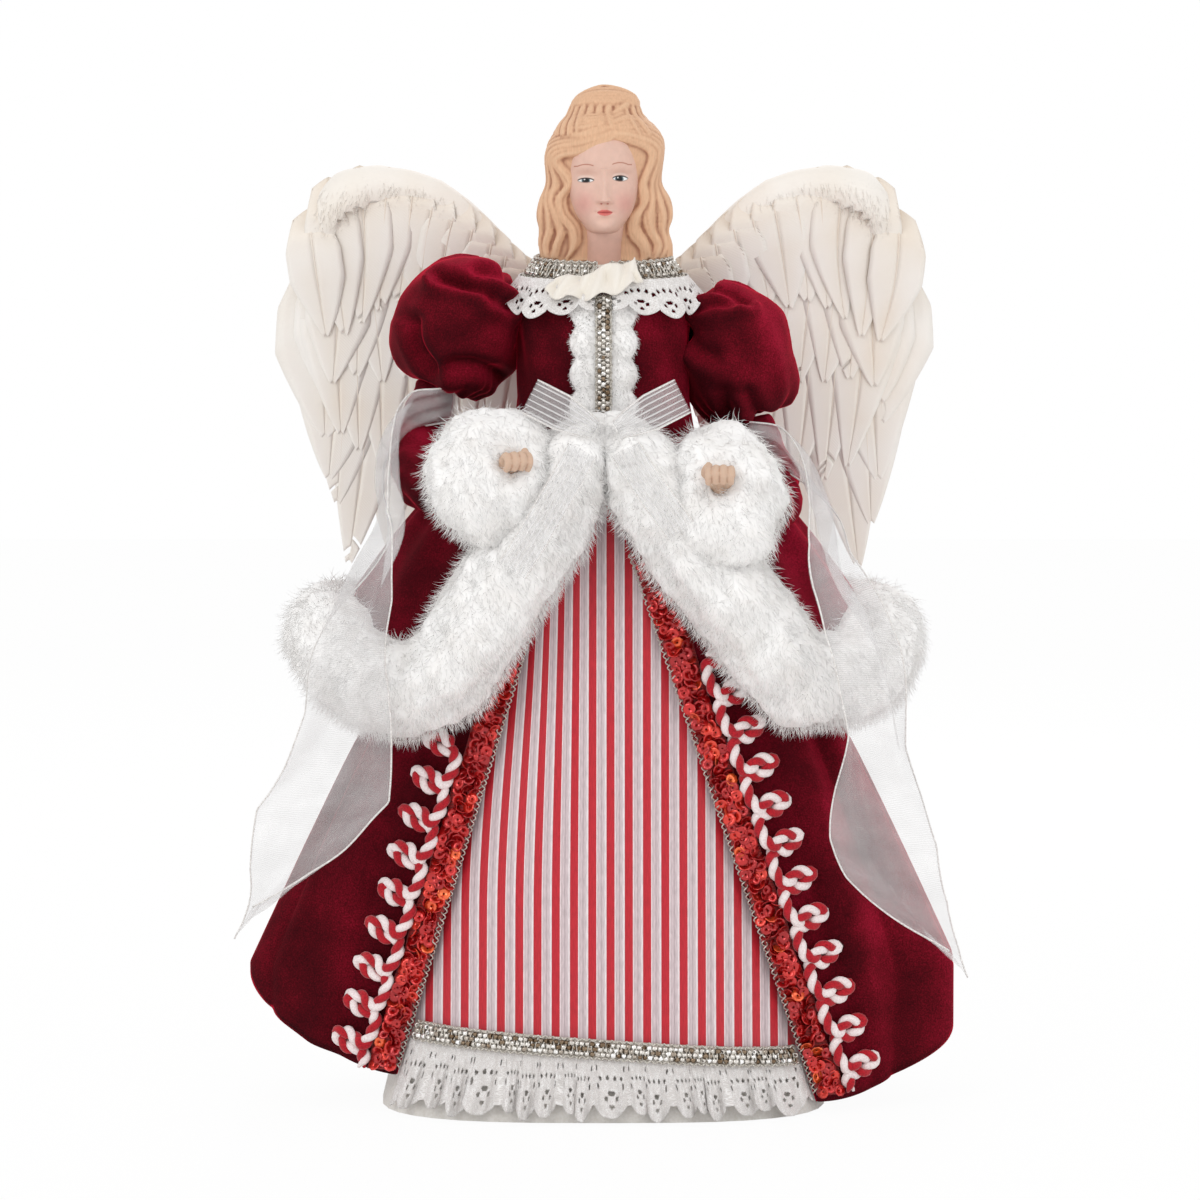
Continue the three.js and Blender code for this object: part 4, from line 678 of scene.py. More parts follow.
def through(points, steps):
    """Evenly spaced points of a smooth curve through given ones, knotted by the root of their distances."""
    p = np.asarray(points, float)
    p = np.concatenate([[2 * p[0] - p[1]], p, [2 * p[-1] - p[-2]]])
    fine = []
    for i in range(1, len(p) - 2):
        d0, d1, d2 = (max(np.linalg.norm(p[k + 1] - p[k]), 1e-6) ** 0.5 for k in (i - 1, i, i + 1))
        start = ((p[i] - p[i - 1]) / d0 - (p[i + 1] - p[i - 1]) / (d0 + d1) + (p[i + 1] - p[i]) / d1) * d1
        end = ((p[i + 1] - p[i]) / d1 - (p[i + 2] - p[i]) / (d1 + d2) + (p[i + 2] - p[i + 1]) / d2) * d1
        t = np.linspace(0, 1, 24, endpoint=False)[:, None]
        fine.append((2 * t ** 3 - 3 * t ** 2 + 1) * p[i] + (t ** 3 - 2 * t ** 2 + t) * start
                    + (3 * t ** 2 - 2 * t ** 3) * p[i + 1] + (t ** 3 - t ** 2) * end)
    fine = np.concatenate(fine + [p[-2:-1]])
    way = way_along(fine)
    even = np.linspace(0, way[-1], steps + 1)
    return np.stack([np.interp(even, way, fine[:, k]) for k in range(3)], axis=-1)


def way_along(path):
    """How far each point lies from the start of its path."""
    return np.concatenate([[0], np.cumsum(np.linalg.norm(np.diff(path, axis=0), axis=1))])


def frames_across(path):
    """Two directions across a path at each point, carried from point to point without a twist."""
    along = np.gradient(path, axis=0)
    along /= np.linalg.norm(along, axis=1, keepdims=True)
    side = np.array((0.0, 0.0, 1.0))
    sides = []
    for a in along:
        side = side - a * np.dot(side, a)
        side = side / max(np.linalg.norm(side), 1e-9)
        sides.append(side)
    return np.array(sides), np.cross(along, sides)


def ringed(rings, foot, head):
    """Points and faces of a body through rings of points, closed by a point at its foot and at its head."""
    rows, sides = rings.shape[:2]
    last = (rows - 1) * sides
    faces = [(r + s, r + (s + 1) % sides, r + sides + (s + 1) % sides, r + sides + s)
             for r in range(0, last, sides) for s in range(sides)]
    for s in range(sides):
        t = (s + 1) % sides
        faces += [(t, s, rows * sides), (last + s, last + t, rows * sides + 1)]
    return np.concatenate([rings.reshape(-1, 3), [foot], [head]]), faces


def swept(path, radius, sides=8, squash=1.0):
    """A round body along a path. The radius is one number or one for each point."""
    a, b = frames_across(path)
    angle = np.arange(sides) * 2 * math.pi / sides
    r = np.broadcast_to(np.asarray(radius, float), (len(path),))[:, None, None]
    across = np.cos(angle)[None, :, None] * a[:, None] + squash * np.sin(angle)[None, :, None] * b[:, None]
    return ringed(path[:, None] + r * across, path[0], path[-1])


def new_bodies(name, bodies, finish):
    """One piece from several bodies, each given as its points and faces."""
    points, faces, start = [], [], 0
    for p, f in bodies:
        points.append(p)
        faces += [[start + i for i in face] for face in f]
        start += len(p)
    return new_piece(name, np.concatenate(points), faces, finish)


def new_faceted(outline, sides, axis, finish):
    """A small faceted body of radius 1 with a bore, from an outline round the X axis, 0, or the Z axis, 2."""
    points = [np.roll((along, off * math.cos(a), off * math.sin(a)), axis)
              for along, off in outline for a in np.arange(sides) * 2 * math.pi / sides]
    rows = len(outline)
    faces = [(r * sides + s, (r + 1) % rows * sides + s, (r + 1) % rows * sides + (s + 1) % sides,
              r * sides + (s + 1) % sides) for r in range(rows) for s in range(sides)]
    if volume_sign(np.array(points), faces) < 0:
        faces = [f[::-1] for f in faces]
    return new_piece("sewn_shape", points, faces, finish)


def new_tinted(name, inputs, stops):
    """A material whose colour follows the tint of each copy."""
    made, tree, surface = new_material(name, inputs)
    tint = add_node(tree, "ShaderNodeAttribute", attribute_name="tint")
    colour = add_node(tree, "ShaderNodeValToRGB", {"Fac": tint.outputs["Fac"]}, ramp=stops)
    set_inputs(surface, tree, {"Base Color": colour})
    return made


# Each plated bead mirrors something else, so each one's tint is a painted reflection: some are painted white
# and others nearly brown
silver = new_tinted("silver-plated glass bead", {"Metallic": 0.85, "Roughness": 0.22}, [
    (0.0, "#6e5a45"), (0.22, "#8c7a66"), (0.35, "#c9c3bb"), (0.8, "#e4e0da"), (1.0, "#ffffff")])
# Metal wound on cotton glints in dots half a millimetre apart, painted into its colour as lighter and darker
# dots
metal_thread = new_mottled("metal thread, silver wound on cotton", {"Metallic": 0.7, "Roughness": 0.35},
                           2200.0, 2.0, [(0.3, "#8f867a"), (0.5, "#c8c2b8"), (0.7, "#efece6")], 0.6, 0.15)

dice = np.random.default_rng(5)


def braid_band(name, face, length, height, pitch, bead, thread):
    """A beaded braid on a face: its ground, its beads in rows and the wavy threads at its edges."""
    ground = new_sheet(name, int(length / 1.2), 6, lambda u, v: face(u, v * height, 0.5),
                       lambda u, v: face(u, v * height, 0), (length, height), metal_thread)
    spots = []
    count = int(length / pitch)
    for row in range(BRAID_ROWS):
        u = (np.arange(count) + 0.5 + 0.5 * (row % 2)) / (count + 0.5)
        up = np.full(count, height * (row + 1) / (BRAID_ROWS + 1))
        spots.append(frames_on(lambda s, t: face(s, t, 0.6 + bead * 0.55), u, up))
    places, normals, alongs = (np.concatenate(part) for part in zip(*spots))
    outward = np.where((normals[:, :2] * places[:, :2]).sum(axis=1) < 0, -1, 1)[:, None]
    tilts = dice.normal(0, 0.35, places.shape)
    # Each bead's random tint picks its painted reflection
    beads = new_copies(name + "_beads", new_faceted(BEAD_SHARES, 6, 0, silver), bead, places,
                       turns_of(normals * outward, alongs, tilts), dice.uniform(0.85, 1.15, len(places)),
                       dice.uniform(0, 1, len(places)), silver)
    threads = []
    for up, swing in [(0.35, 0.5), (height - 0.35, 0.5), (height / 2, height * 0.42)]:
        u = np.linspace(0.004, 0.996, int(length / THREAD_STEP))
        turn = 2 * math.pi * u * length / BRAID_WAVE
        path = face(u, up + swing * np.sin(turn), 1.0 + thread + 0.35 * np.cos(2 * turn))
        threads.append(swept(path, thread, 5))
    return joined(name, [ground, beads, new_bodies(name + "_threads", threads, metal_thread)])


hem_braid = braid_band("hem_bead_braid", on_hem, 160, HEM_BRAID_HEIGHT, 2.15, 1.0, 0.32)
fit_to(hem_braid, ["hem_braid"])

# Sequin braid down both front edges
# Red ribbon, sewn beside each edge of the velvet. Cupped sequins overlap on it, and a metal thread edges it.
VELVET_UP = 0.4
SEQUIN_BRAID_WIDTH = 11
SEQUIN_BRAID_FOOT = {"left": 17, "right": 7}
SEQUIN_BRAID_HEAD = {"left": 190, "right": 222}
SEQUIN_RADIUS = 2.6
SEQUIN_SPACING = 3.1
SEQUIN_ROW_SHARES = [0.16, 0.42, 0.7]
SEQUIN_SHARES = [
    # the outline of a cupped sequin with a hole: places along its axis and distances from it
    (0.1, 0.16), (0.0, 0.5), (0.34, 1.0), (0.42, 1.0), (0.08, 0.5), (0.18, 0.16)]
EDGE_THREAD_WAVE = 4.6
SIDES = {"left": -1, "right": 1}


def beside_edge(edge, z, beside, lift):
    """A point by the robe's front edge: its height, its distance from the edge and its lift off the pile."""
    angle = robe_angle(edge_distance(edge, z) + beside, z)
    return on_robe(edge, angle, z, VELVET + VELVET_UP + lift)


# Foil under clear plastic gives each sequin a sharp glint. Each sequin's tint, at random from deep red to
# nearly orange, is a painted reflection, and the few orange ones are painted glints
sequin_red = new_tinted(
    "polyester sequin, red foil",
    {"Metallic": 0.55, "Roughness": 0.16, "Coat Weight": 0.6, "Coat Roughness": 0.08},
    [(0.0, "#a80d14"), (0.55, "#cf2120"), (0.88, "#e43a28"), (1.0, "#fa7035")])
# The ribbon is dull, with ribs across it
ribbon_red, tree, surface = new_material(
    "grosgrain ribbon, dark red", {"Roughness": 0.6, "Sheen Weight": 0.2})
where = add_node(tree, "ShaderNodeTexCoord").outputs
ribs = add_node(tree, "ShaderNodeTexWave", {"Vector": where["Object"], "Scale": 260.0, "Distortion": 2.0},
                bands_direction="Z")
colour = add_node(tree, "ShaderNodeValToRGB", {"Fac": ribs}, ramp=[(0.0, "#7c0f12"), (1.0, "#a31d1b")])
bump = add_node(tree, "ShaderNodeBump", {"Height": ribs, "Strength": 0.5, "Distance": 0.3 * MM})
set_inputs(surface, tree, {"Base Color": colour, "Normal": bump})

for hand in SIDES:
    edge = EDGES[hand]
    foot, head = SEQUIN_BRAID_FOOT[hand], SEQUIN_BRAID_HEAD[hand]
    length = head - foot

    def ribbon_face(lift):
        def face(u, v):
            across = SEQUIN_BRAID_WIDTH * (1 + 0.05 * np.sin(40 * v)) * u - 0.3
            return beside_edge(edge, mix(foot, head, v), across, lift + 0.35 * np.sin(55 * v + 4 * u))
        return face

    ribbon = new_sheet("sequin_ribbon_" + hand, 8, 220, ribbon_face(1.2), ribbon_face(0.4),
                       (length, SEQUIN_BRAID_WIDTH), ribbon_red)
    rows = int(length / SEQUIN_SPACING)
    spots = []
    for column, across in enumerate(SEQUIN_ROW_SHARES):
        v = (np.arange(rows) + 0.5 + 0.4 * (column % 2)) / (rows + 0.5)
        u = across + dice.normal(0, 0.03, rows)
        spots.append(frames_on(ribbon_face(2.0), u, v))
    places, normals, alongs = (np.concatenate(part) for part in zip(*spots))
    normals = normals * -np.sign(normals[:, 1:2])
    tilts = dice.normal(0, 0.42, places.shape)
    # Random tints: painted reflections, and a few orange painted glints
    tints = dice.uniform(0, 1, len(places)) ** 1.5
    sizes = dice.uniform(0.85, 1.1, len(places))
    sequins = new_copies("sequins_" + hand, new_faceted(SEQUIN_SHARES, 9, 2, sequin_red), SEQUIN_RADIUS,
                         places, turns_of(normals, alongs, tilts), sizes, tints, sequin_red)
    v = np.linspace(0.005, 0.995, int(length / THREAD_STEP))
    loops = []
    for shift in (0, 0.5):
        phase = 2 * math.pi * (v * length / EDGE_THREAD_WAVE + shift)
        path = beside_edge(edge, mix(foot, head, v), -0.5 + 1.1 * np.sin(phase), 1.1 + 0.4 * np.cos(phase))
        loops.append(swept(path, 0.3, 5))
    thread = new_bodies("edge_thread_" + hand, loops, metal_thread)
    braid = joined("sequin_trim_" + hand, [ribbon, sequins, thread])
    fit_to(braid, ["sequin_braid_" + hand])

# Looped candy cord
# Red and white cotton plies, twisted together and couched beside the sequins so that it throws out loops.
CORD_RADIUS = 2.1
CORD_LOOPS = {"left": 9, "right": 12}
CORD_PITCH = 14.8
CORD_LOOP_REACH = 13.5
CORD_RUN = 11.6  # how far the cord runs from the robe's edge, half over the rim of the sequin braid
CORD_LEG_GAP = 0.9
CORD_FOOT = {"left": 25, "right": 15.5}
CORD_LOOP_RISE_SHARE = 0.42  # how far a loop rises for each millimetre out
CORD_LOOP_SHARES = [(-0.5, 0.12, -0.3), (-1.1, 0.55, 0), (0, 1, 0.3), (1.1, 0.55, 0.8), (0.5, 0.12, 1.4)]
CORD_TWIST = 9.6  # length in which a ply goes once round
CORD_PLY_RADIUS = 1.62
CORD_PLY_OFF = 1.15  # how far the middle of each ply is from the middle of the cord

# Cotton is matt, and its loose fibres pale the colour a little
cotton = {}
for ply, roughness, dark, light in [
        ("white", 0.9, "#e6d2d2", "#f8eeed"), ("red", 0.85, "#930f1d", "#bd1c2a")]:
    cotton[ply] = new_mottled(
        "cotton cord, " + ply + " ply",
        {"Roughness": roughness, "Sheen Weight": 0.3, "Specular IOR Level": 0.2},
        1500.0, 3.0, [(0.3, dark), (0.6, light)], 0.5, 0.25)

for hand in SIDES:
    edge = EDGES[hand]
    half = CORD_RADIUS + CORD_LEG_GAP / 2
    marks = []
    for loop in range(CORD_LOOPS[hand]):
        z = CORD_FOOT[hand] + loop * CORD_PITCH
        for up, out, lift in [(-CORD_PITCH / half / 2, 0, 0)] + CORD_LOOP_SHARES:
            out = CORD_LOOP_REACH * out
            rise = half * up + out * CORD_LOOP_RISE_SHARE
            marks.append(beside_edge(edge, z + rise, CORD_RUN + out, CORD_RADIUS + 0.9 + lift))
    path = through(marks, 62 * CORD_LOOPS[hand])
    way = way_along(path)
    a, b = frames_across(path)
    fade = np.minimum(1, 0.35 + 0.65 * np.minimum(way, way[-1] - way) / 3)
    plies = []
    for ply, shift in (("white", 0), ("red", math.pi)):
        turn = (2 * math.pi * way / CORD_TWIST + shift)[:, None]
        wound = swept(path + CORD_PLY_OFF * (np.cos(turn) * a + np.sin(turn) * b), CORD_PLY_RADIUS * fade, 9)
        plies.append(new_bodies(ply + "_ply_" + hand, [wound], cotton[ply]))
    cord = joined("looped_candy_cord_" + hand, plies)
    fit_to(cord, ["looped_cord_" + hand])

# Velvet peplum
# A short overskirt cut away in front, lined, and gathered into the waist seam.
WAIST = CONE_HEIGHT
PEPLUM_TOP_HALF = (33, 24)
PEPLUM_HEM_HALF = (107, 58)
PEPLUM_LENGTH = 74
PEPLUM_RISE = 4
PEPLUM_FRONT_DIP = 27
PEPLUM_FLARE_POWER = 0.66
PEPLUM_TOP_ANGLE = math.radians(9)
PEPLUM_CORNER_ANGLES = {"left": math.radians(42), "right": math.radians(52)}
PEPLUM_SIDE_ANGLE = math.radians(84)
PEPLUM_VELVET_SHARE = 0.84
FUR_RADIUS = 17.5
FUR_WAIST_RADIUS = 14.5


def on_peplum(hand, angle, v, out):
    dip = PEPLUM_FRONT_DIP * (1 - ramp(angle, PEPLUM_CORNER_ANGLES[hand], PEPLUM_SIDE_ANGLE))
    hem = WAIST - PEPLUM_LENGTH - dip
    flare = v ** PEPLUM_FLARE_POWER
    w = mix(PEPLUM_TOP_HALF[0], PEPLUM_HEM_HALF[0], flare) + out
    d = mix(PEPLUM_TOP_HALF[1], PEPLUM_HEM_HALF[1], flare) + out
    return stack(SIDES[hand] * w * np.sin(angle), -d * np.cos(angle), mix(WAIST + PEPLUM_RISE, hem, v))


def peplum_edge(hand, v):
    return mix(PEPLUM_TOP_ANGLE, PEPLUM_CORNER_ANGLES[hand], v)


def peplum_face(out):
    def face(u, v):
        level = v * PEPLUM_VELVET_SHARE
        bound = FUR_RADIUS * ramp(v, 0, 0.6) / (PEPLUM_TOP_HALF[0] + v * PEPLUM_HEM_HALF[0] / 2)
        pair = []
        for hand in ("right", "left"):
            angle = mix(peplum_edge(hand, level) + bound, math.pi, 1 - np.abs(2 * u - 1))
            fold = np.sin(26 * angle + SIDES[hand] + 2 * np.sin(3 * angle)) * (0.35 + 0.9 * ramp(v, 0, 0.5))
            fold = fold * ramp(v, 0, 0.1)
            pair.append(on_peplum(hand, angle, level, out + fold + 1.0))
        return np.where((u < 0.5)[..., None], *pair)
    return face


peplum = new_sheet("velvet_short_overskirt", 340, 50, peplum_face(VELVET), peplum_face(0), (520, 70), velvet)
fit_to(peplum, ["velvet_peplum"])

# Fake fur bindings and cuffs
# White acrylic plush with a deep pile, folded round the edges of the peplum and the ends of the sleeves.
PILE_LENGTH = 6
FUR_DRAWN_IN = {"peplum_fur_": -1.6, "fur_cuff_": -2.5}  # how far the ground lies below the solid


def smoothed(piece, rounds):
    """A piece with its points eased towards their neighbours, as a plain mesh."""
    soft = piece.modifiers.new("soft", "SMOOTH")
    soft.iterations, soft.factor = rounds, 0.5
    return finished(piece)


def evened(piece, voxel, rounds):
    """A piece remade as one closed skin of even cells, and smoothed."""
    even = piece.modifiers.new("even", "REMESH")
    even.mode, even.voxel_size = "VOXEL", voxel * MM
    return smoothed(piece, rounds)


def places_of(piece):
    """A piece's points in millimetres, and their normals."""
    mesh = piece.data
    flat = np.empty((2, len(mesh.vertices) * 3), np.float32)
    mesh.vertices.foreach_get("co", flat[0])
    mesh.vertex_normals.foreach_get("vector", flat[1])
    p, n = flat.reshape(2, -1, 3).astype(float)
    return p / MM, n


def move(piece, change):
    """Moves a piece's points, in millimetres, by a function of them and their normals."""
    p = change(*places_of(piece)) * MM
    piece.data.vertices.foreach_set("co", p.astype(np.float32).ravel())
    piece.data.update()


def skin_of(node, voxel, rounds, inwards):
    """A smooth closed copy of a CAD node's solid, drawn in by the depth of the pile."""
    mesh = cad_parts[node].data.copy()
    skin = bpy.data.objects.new(node + "_skin", mesh)
    bpy.context.scene.collection.objects.link(skin)
    body = bmesh.new()
    body.from_mesh(mesh)
    bmesh.ops.remove_doubles(body, verts=body.verts, dist=0.02 * MM)
    body.to_mesh(mesh)
    body.free()
    evened(skin, voxel, rounds)
    move(skin, lambda p, n: p - n * inwards)
    return skin


def waves(p, size, seed):
    """Smooth uneven waves of about a given size, from sums of sines in scattered directions."""
    r = np.random.default_rng(seed)
    total = np.zeros(len(p))
    for _ in range(9):
        k = r.normal(0, 1, 3)
        k *= 2 * math.pi / size / np.linalg.norm(k) * r.uniform(0.7, 1.5)
        total += np.sin(p @ k + r.uniform(0, 6.3))
    return total / 3


def pile_tree():
    """A tree that grows a pile of curved tapering hairs on a skin."""
    made, given, hair = new_tree("plush_pile", [
        ("Density", "Float"), ("Length", "Float"), ("Stand", "Float"), ("Lean", "Vector"), ("Stray", "Float"),
        ("Seed", "Int")])
    spread = add_node(made, "GeometryNodeDistributePointsOnFaces", {
        "Mesh": given["Geometry"], "Density": given["Density"], "Seed": given["Seed"]})
    place = add_node(made, "GeometryNodeInputPosition")
    tuft = add_node(made, "ShaderNodeTexNoise", {"Vector": place, "Scale": 150.0, "Detail": 1.0})
    tuft = add_node(made, "ShaderNodeVectorMath", {0: tuft.outputs["Color"], 1: (0.5, 0.5, 0.5)},
                    operation="SUBTRACT")
    tuft = add_node(made, "ShaderNodeVectorMath", {0: tuft, 3: given["Stray"]}, operation="SCALE")
    loose = add_node(made, "FunctionNodeRandomValue", {
        "Min": (-0.3, -0.3, -0.3), "Max": (0.3, 0.3, 0.3), "Seed": given["Seed"]}, data_type="FLOAT_VECTOR")
    way = add_node(made, "ShaderNodeVectorMath", {0: spread.outputs["Normal"], 3: given["Stand"]},
                   operation="SCALE")
    for more in (given["Lean"], tuft, loose):
        way = add_node(made, "ShaderNodeVectorMath", {0: way, 1: more}, operation="ADD")
    turn = add_node(made, "FunctionNodeAlignRotationToVector", {"Vector": way}, axis="Z")
    spin = add_node(made, "FunctionNodeRandomValue", {"Min": (0, 0, -0.6), "Max": (0, 0, 0.6)},
                    data_type="FLOAT_VECTOR")
    spin = add_node(made, "FunctionNodeEulerToRotation", {"Euler": spin})
    turn = add_node(made, "FunctionNodeRotateRotation", {"Rotation": turn, "Rotate By": spin},
                    rotation_space="LOCAL")
    size = add_node(made, "FunctionNodeRandomValue", {2: 0.65, 3: 1.1}, data_type="FLOAT")
    size = add_node(made, "ShaderNodeMath", {0: size, 1: given["Length"]}, operation="MULTIPLY")
    pile = add_node(made, "GeometryNodeInstanceOnPoints", {
        "Points": spread.outputs["Points"], "Instance": hair, "Rotation": turn, "Scale": size})
    both = add_node(made, "GeometryNodeJoinGeometry")
    made.links.new(given["Geometry"], both.inputs[0])
    made.links.new(pile.outputs["Instances"], both.inputs[0])
    return end_tree(made, both, given["Finish"])


plush_pile = pile_tree()


def one_hair(width, finish):
    """A hair of length one: three-sided, bowed and drawn to a point."""
    points = []
    for up, bow, wide in [(0, 0, 1.0), (0.55, 0.06, 0.8)]:
        points += [(bow + width * wide * math.cos(a), width * wide * math.sin(a), up)
                   for a in (0, 2 * math.pi / 3, 4 * math.pi / 3)]
    points.append((0.22, 0, 1))
    faces = [(2, 1, 0)] + [(i, (i + 1) % 3, (i + 1) % 3 + 3, i + 3) for i in range(3)]
    faces += [(i + 3, (i + 1) % 3 + 3, 6) for i in range(3)]
    return new_piece("hair_shape", np.array(points) / MM, faces, finish)


def grow_pile(skin, density, length, width, stand, lean, stray, seed, finish):
    """Grows a pile on a skin: hairs to the square millimetre, their length and width, and how they lie."""
    hair = one_hair(width / length, finish)
    mark(hair, "tint", np.full(len(hair.data.vertices), 0.85))
    return run_tree(skin, plush_pile, hair, Density=float(density / MM ** 2), Length=float(length * MM),
                    Stand=float(stand), Lean=lean, Stray=float(stray), Seed=seed, Finish=finish)


# Plush scatters light among its hairs, so it looks white even in its hollows
fur_white = new_mottled(
    "acrylic plush, white pile", {"Roughness": 0.95, "Specular IOR Level": 0.05, "Sheen Weight": 0.3},
    110.0, 2.0, [(0.3, "#fbf9f7"), (0.6, "#fffefd")])

for hand in SIDES:
    for node, name, seed in [("peplum_fur_", "fur_binding_", 3), ("fur_cuff_", "fur_sleeve_end_", 5)]:
        fur = skin_of(node + hand, 1.8, 14, FUR_DRAWN_IN[node])
        move(fur, lambda p, n: p + n * (1.2 * waves(p, 22, seed) + 0.6 * waves(p, 8, seed + 1))[:, None])
        fur.name = name + hand
        grow_pile(fur, 0.58, PILE_LENGTH, 0.115, 0.35, (0, 0, -0.4), 0.8, 7, fur_white)
        fit_to(fur, [node + hand])

# Velvet bodice
# The same crimson velvet, fitted round the foam body and taken in at the waist.
BODY_OVAL_POWER = 2.3
TORSO_HEIGHT = 72
TORSO_FOOT = CONE_HEIGHT + FIT
TORSO_HALF = (32, 24)
TORSO_SHARES = np.array([
    # height, half width and half depth, as shares of the torso's
    [0, 1.08, 0.88], [0.28, 1.0, 0.9], [0.58, 1, 1], [0.8, 1.02, 0.9], [0.93, 0.8, 0.72], [1, 0.56, 0.56]])
BODICE_OUT = FIT + VELVET
# Foam is white and pebbled, with beads about 3 mm wide
foam, tree, surface = new_material("polystyrene foam", {"Roughness": 0.9})
where = add_node(tree, "ShaderNodeTexCoord").outputs["Object"]
beads = add_node(tree, "ShaderNodeTexVoronoi", {"Vector": where, "Scale": 350.0}).outputs["Distance"]
colour = add_node(tree, "ShaderNodeValToRGB", {"Fac": beads}, ramp=[(0, "#f2eee6"), (0.7, "#dcd6c8")])
bump = add_node(tree, "ShaderNodeBump", {"Height": beads, "Strength": 0.5, "Distance": 0.5 * MM})
set_inputs(surface, tree, {"Base Color": colour, "Normal": bump})
dress(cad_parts["torso_form"], foam)


def torso_half(share):
    """The torso's half width and half depth, with the corners between its stations eased."""
    fine = np.linspace(-0.2, 1.2, 281)
    halves = []
    for column, half in zip((1, 2), TORSO_HALF):
        line = np.interp(fine, TORSO_SHARES[:, 0], TORSO_SHARES[:, column])
        line = np.convolve(np.pad(line, 8, mode="edge"), np.hanning(17) / np.hanning(17).sum(), mode="valid")
        halves.append(np.interp(share, fine, line) * half)
    return halves


def bodice_face(out):
    def face(u, v):
        share = mix(0.03, 0.985, v)
        w, d = torso_half(share)
        angle = 2 * math.pi * u
        # Small tucks at the waist, and soft strain folds below the arms
        tuck = 0.5 * np.sin(24 * angle) * (1 - ramp(v, 0, 0.3))
        strain = 0.7 * np.sin(9 * angle + 7 * v) * ramp(v, 0.1, 0.4) * (1 - ramp(v, 0.5, 0.9))
        x, y = oval(w + out + tuck + strain, d + out + tuck + strain, angle, BODY_OVAL_POWER)
        return stack(x, y, TORSO_FOOT + share * TORSO_HEIGHT)
    return face


bodice = new_sheet("velvet_fitted_bodice", 200, 60, bodice_face(BODICE_OUT), bodice_face(FIT), (210, 72),
                   velvet, closed=True)
fit_to(bodice, ["velvet_bodice"])

# Puffed sleeves
# Velvet, gathered into the shoulder and into the lower sleeve, and held full by a wad of stuffing.
ARMS = {
    "left": {"top": (-37, 4, 327), "middle": (-56, 5, 310), "foot": (-67, 6, 287), "elbow": (-74, 3, 264),
             "forearm": (-70, -21, 248), "wrist": (-41, -44, 250), "knuckles": (-31.5, -70, 261)},
    "right": {"top": (36, 4, 321), "middle": (51, 5, 300), "foot": (60, 6, 273), "elbow": (67, 3, 250),
              "forearm": (66, -21, 238), "wrist": (46, -44, 243), "knuckles": (44.5, -70, 256)},
}
PUFF_CREASES = {
    # creases on the front of each puff: places across and up, then depth and width
    "left": [([(-65, 329), (-57, 327.5), (-50, 325.5), (-43, 323)], 3.4, 1.7),
             ([(-50, 331.5), (-42, 329), (-35, 325.5)], 2.4, 1.5),
             ([(-44, 320), (-37, 318.5), (-32, 318)], 2.6, 1.8),
             ([(-76, 312), (-75, 304), (-72, 297), (-68, 292)], 2.8, 2.2),
             ([(-59, 294), (-51, 294), (-43, 290.5), (-37, 283)], 2.6, 2.4)],
    "right": [([(36, 322.5), (43, 324), (50, 323), (56, 319)], 2.6, 1.6),
              ([(37, 317), (44, 318.5), (51, 318)], 2.4, 1.6),
              ([(33, 308), (36, 302), (43, 298)], 1.8, 2.4),
              ([(66, 270), (61, 275), (57, 283)], 2.2, 2.2),
              ([(48, 268), (50, 276), (48, 284)], 1.8, 2.2)],
}


def from_crease(p, marks):
    """How far each point lies from a crease as seen from the front, and 1 below it or 0 above."""
    path = through([(x, 0, z) for x, z in marks], 30)[:, (0, 2)]
    off = p[:, None, (0, 2)] - path[None]
    apart = np.linalg.norm(off, axis=2)
    near = apart.argmin(axis=1)
    rows = np.arange(len(p))
    return apart[rows, near], (off[rows, near, 1] < 0).astype(float)


def along_line(line, p):
    """How far along a line each point lies, as a share, and its angle round the line."""
    path = through(line, 60)
    apart = np.linalg.norm(p[:, None] - path[None], axis=2)
    near = apart.argmin(axis=1)
    a, b = frames_across(path)
    off = p - path[near]
    angle = np.arctan2(np.einsum("ij,ij->i", off, b[near]), np.einsum("ij,ij->i", off, a[near]))
    return near / 60, angle


# Drawn steel is bright grey, with faint duller patches
steel = new_mottled("steel wire, drawn", {"Metallic": 1.0, "Roughness": 0.35}, 900.0, 2.0,
                    [(0.3, "#85888b"), (0.7, "#a2a5a7")])

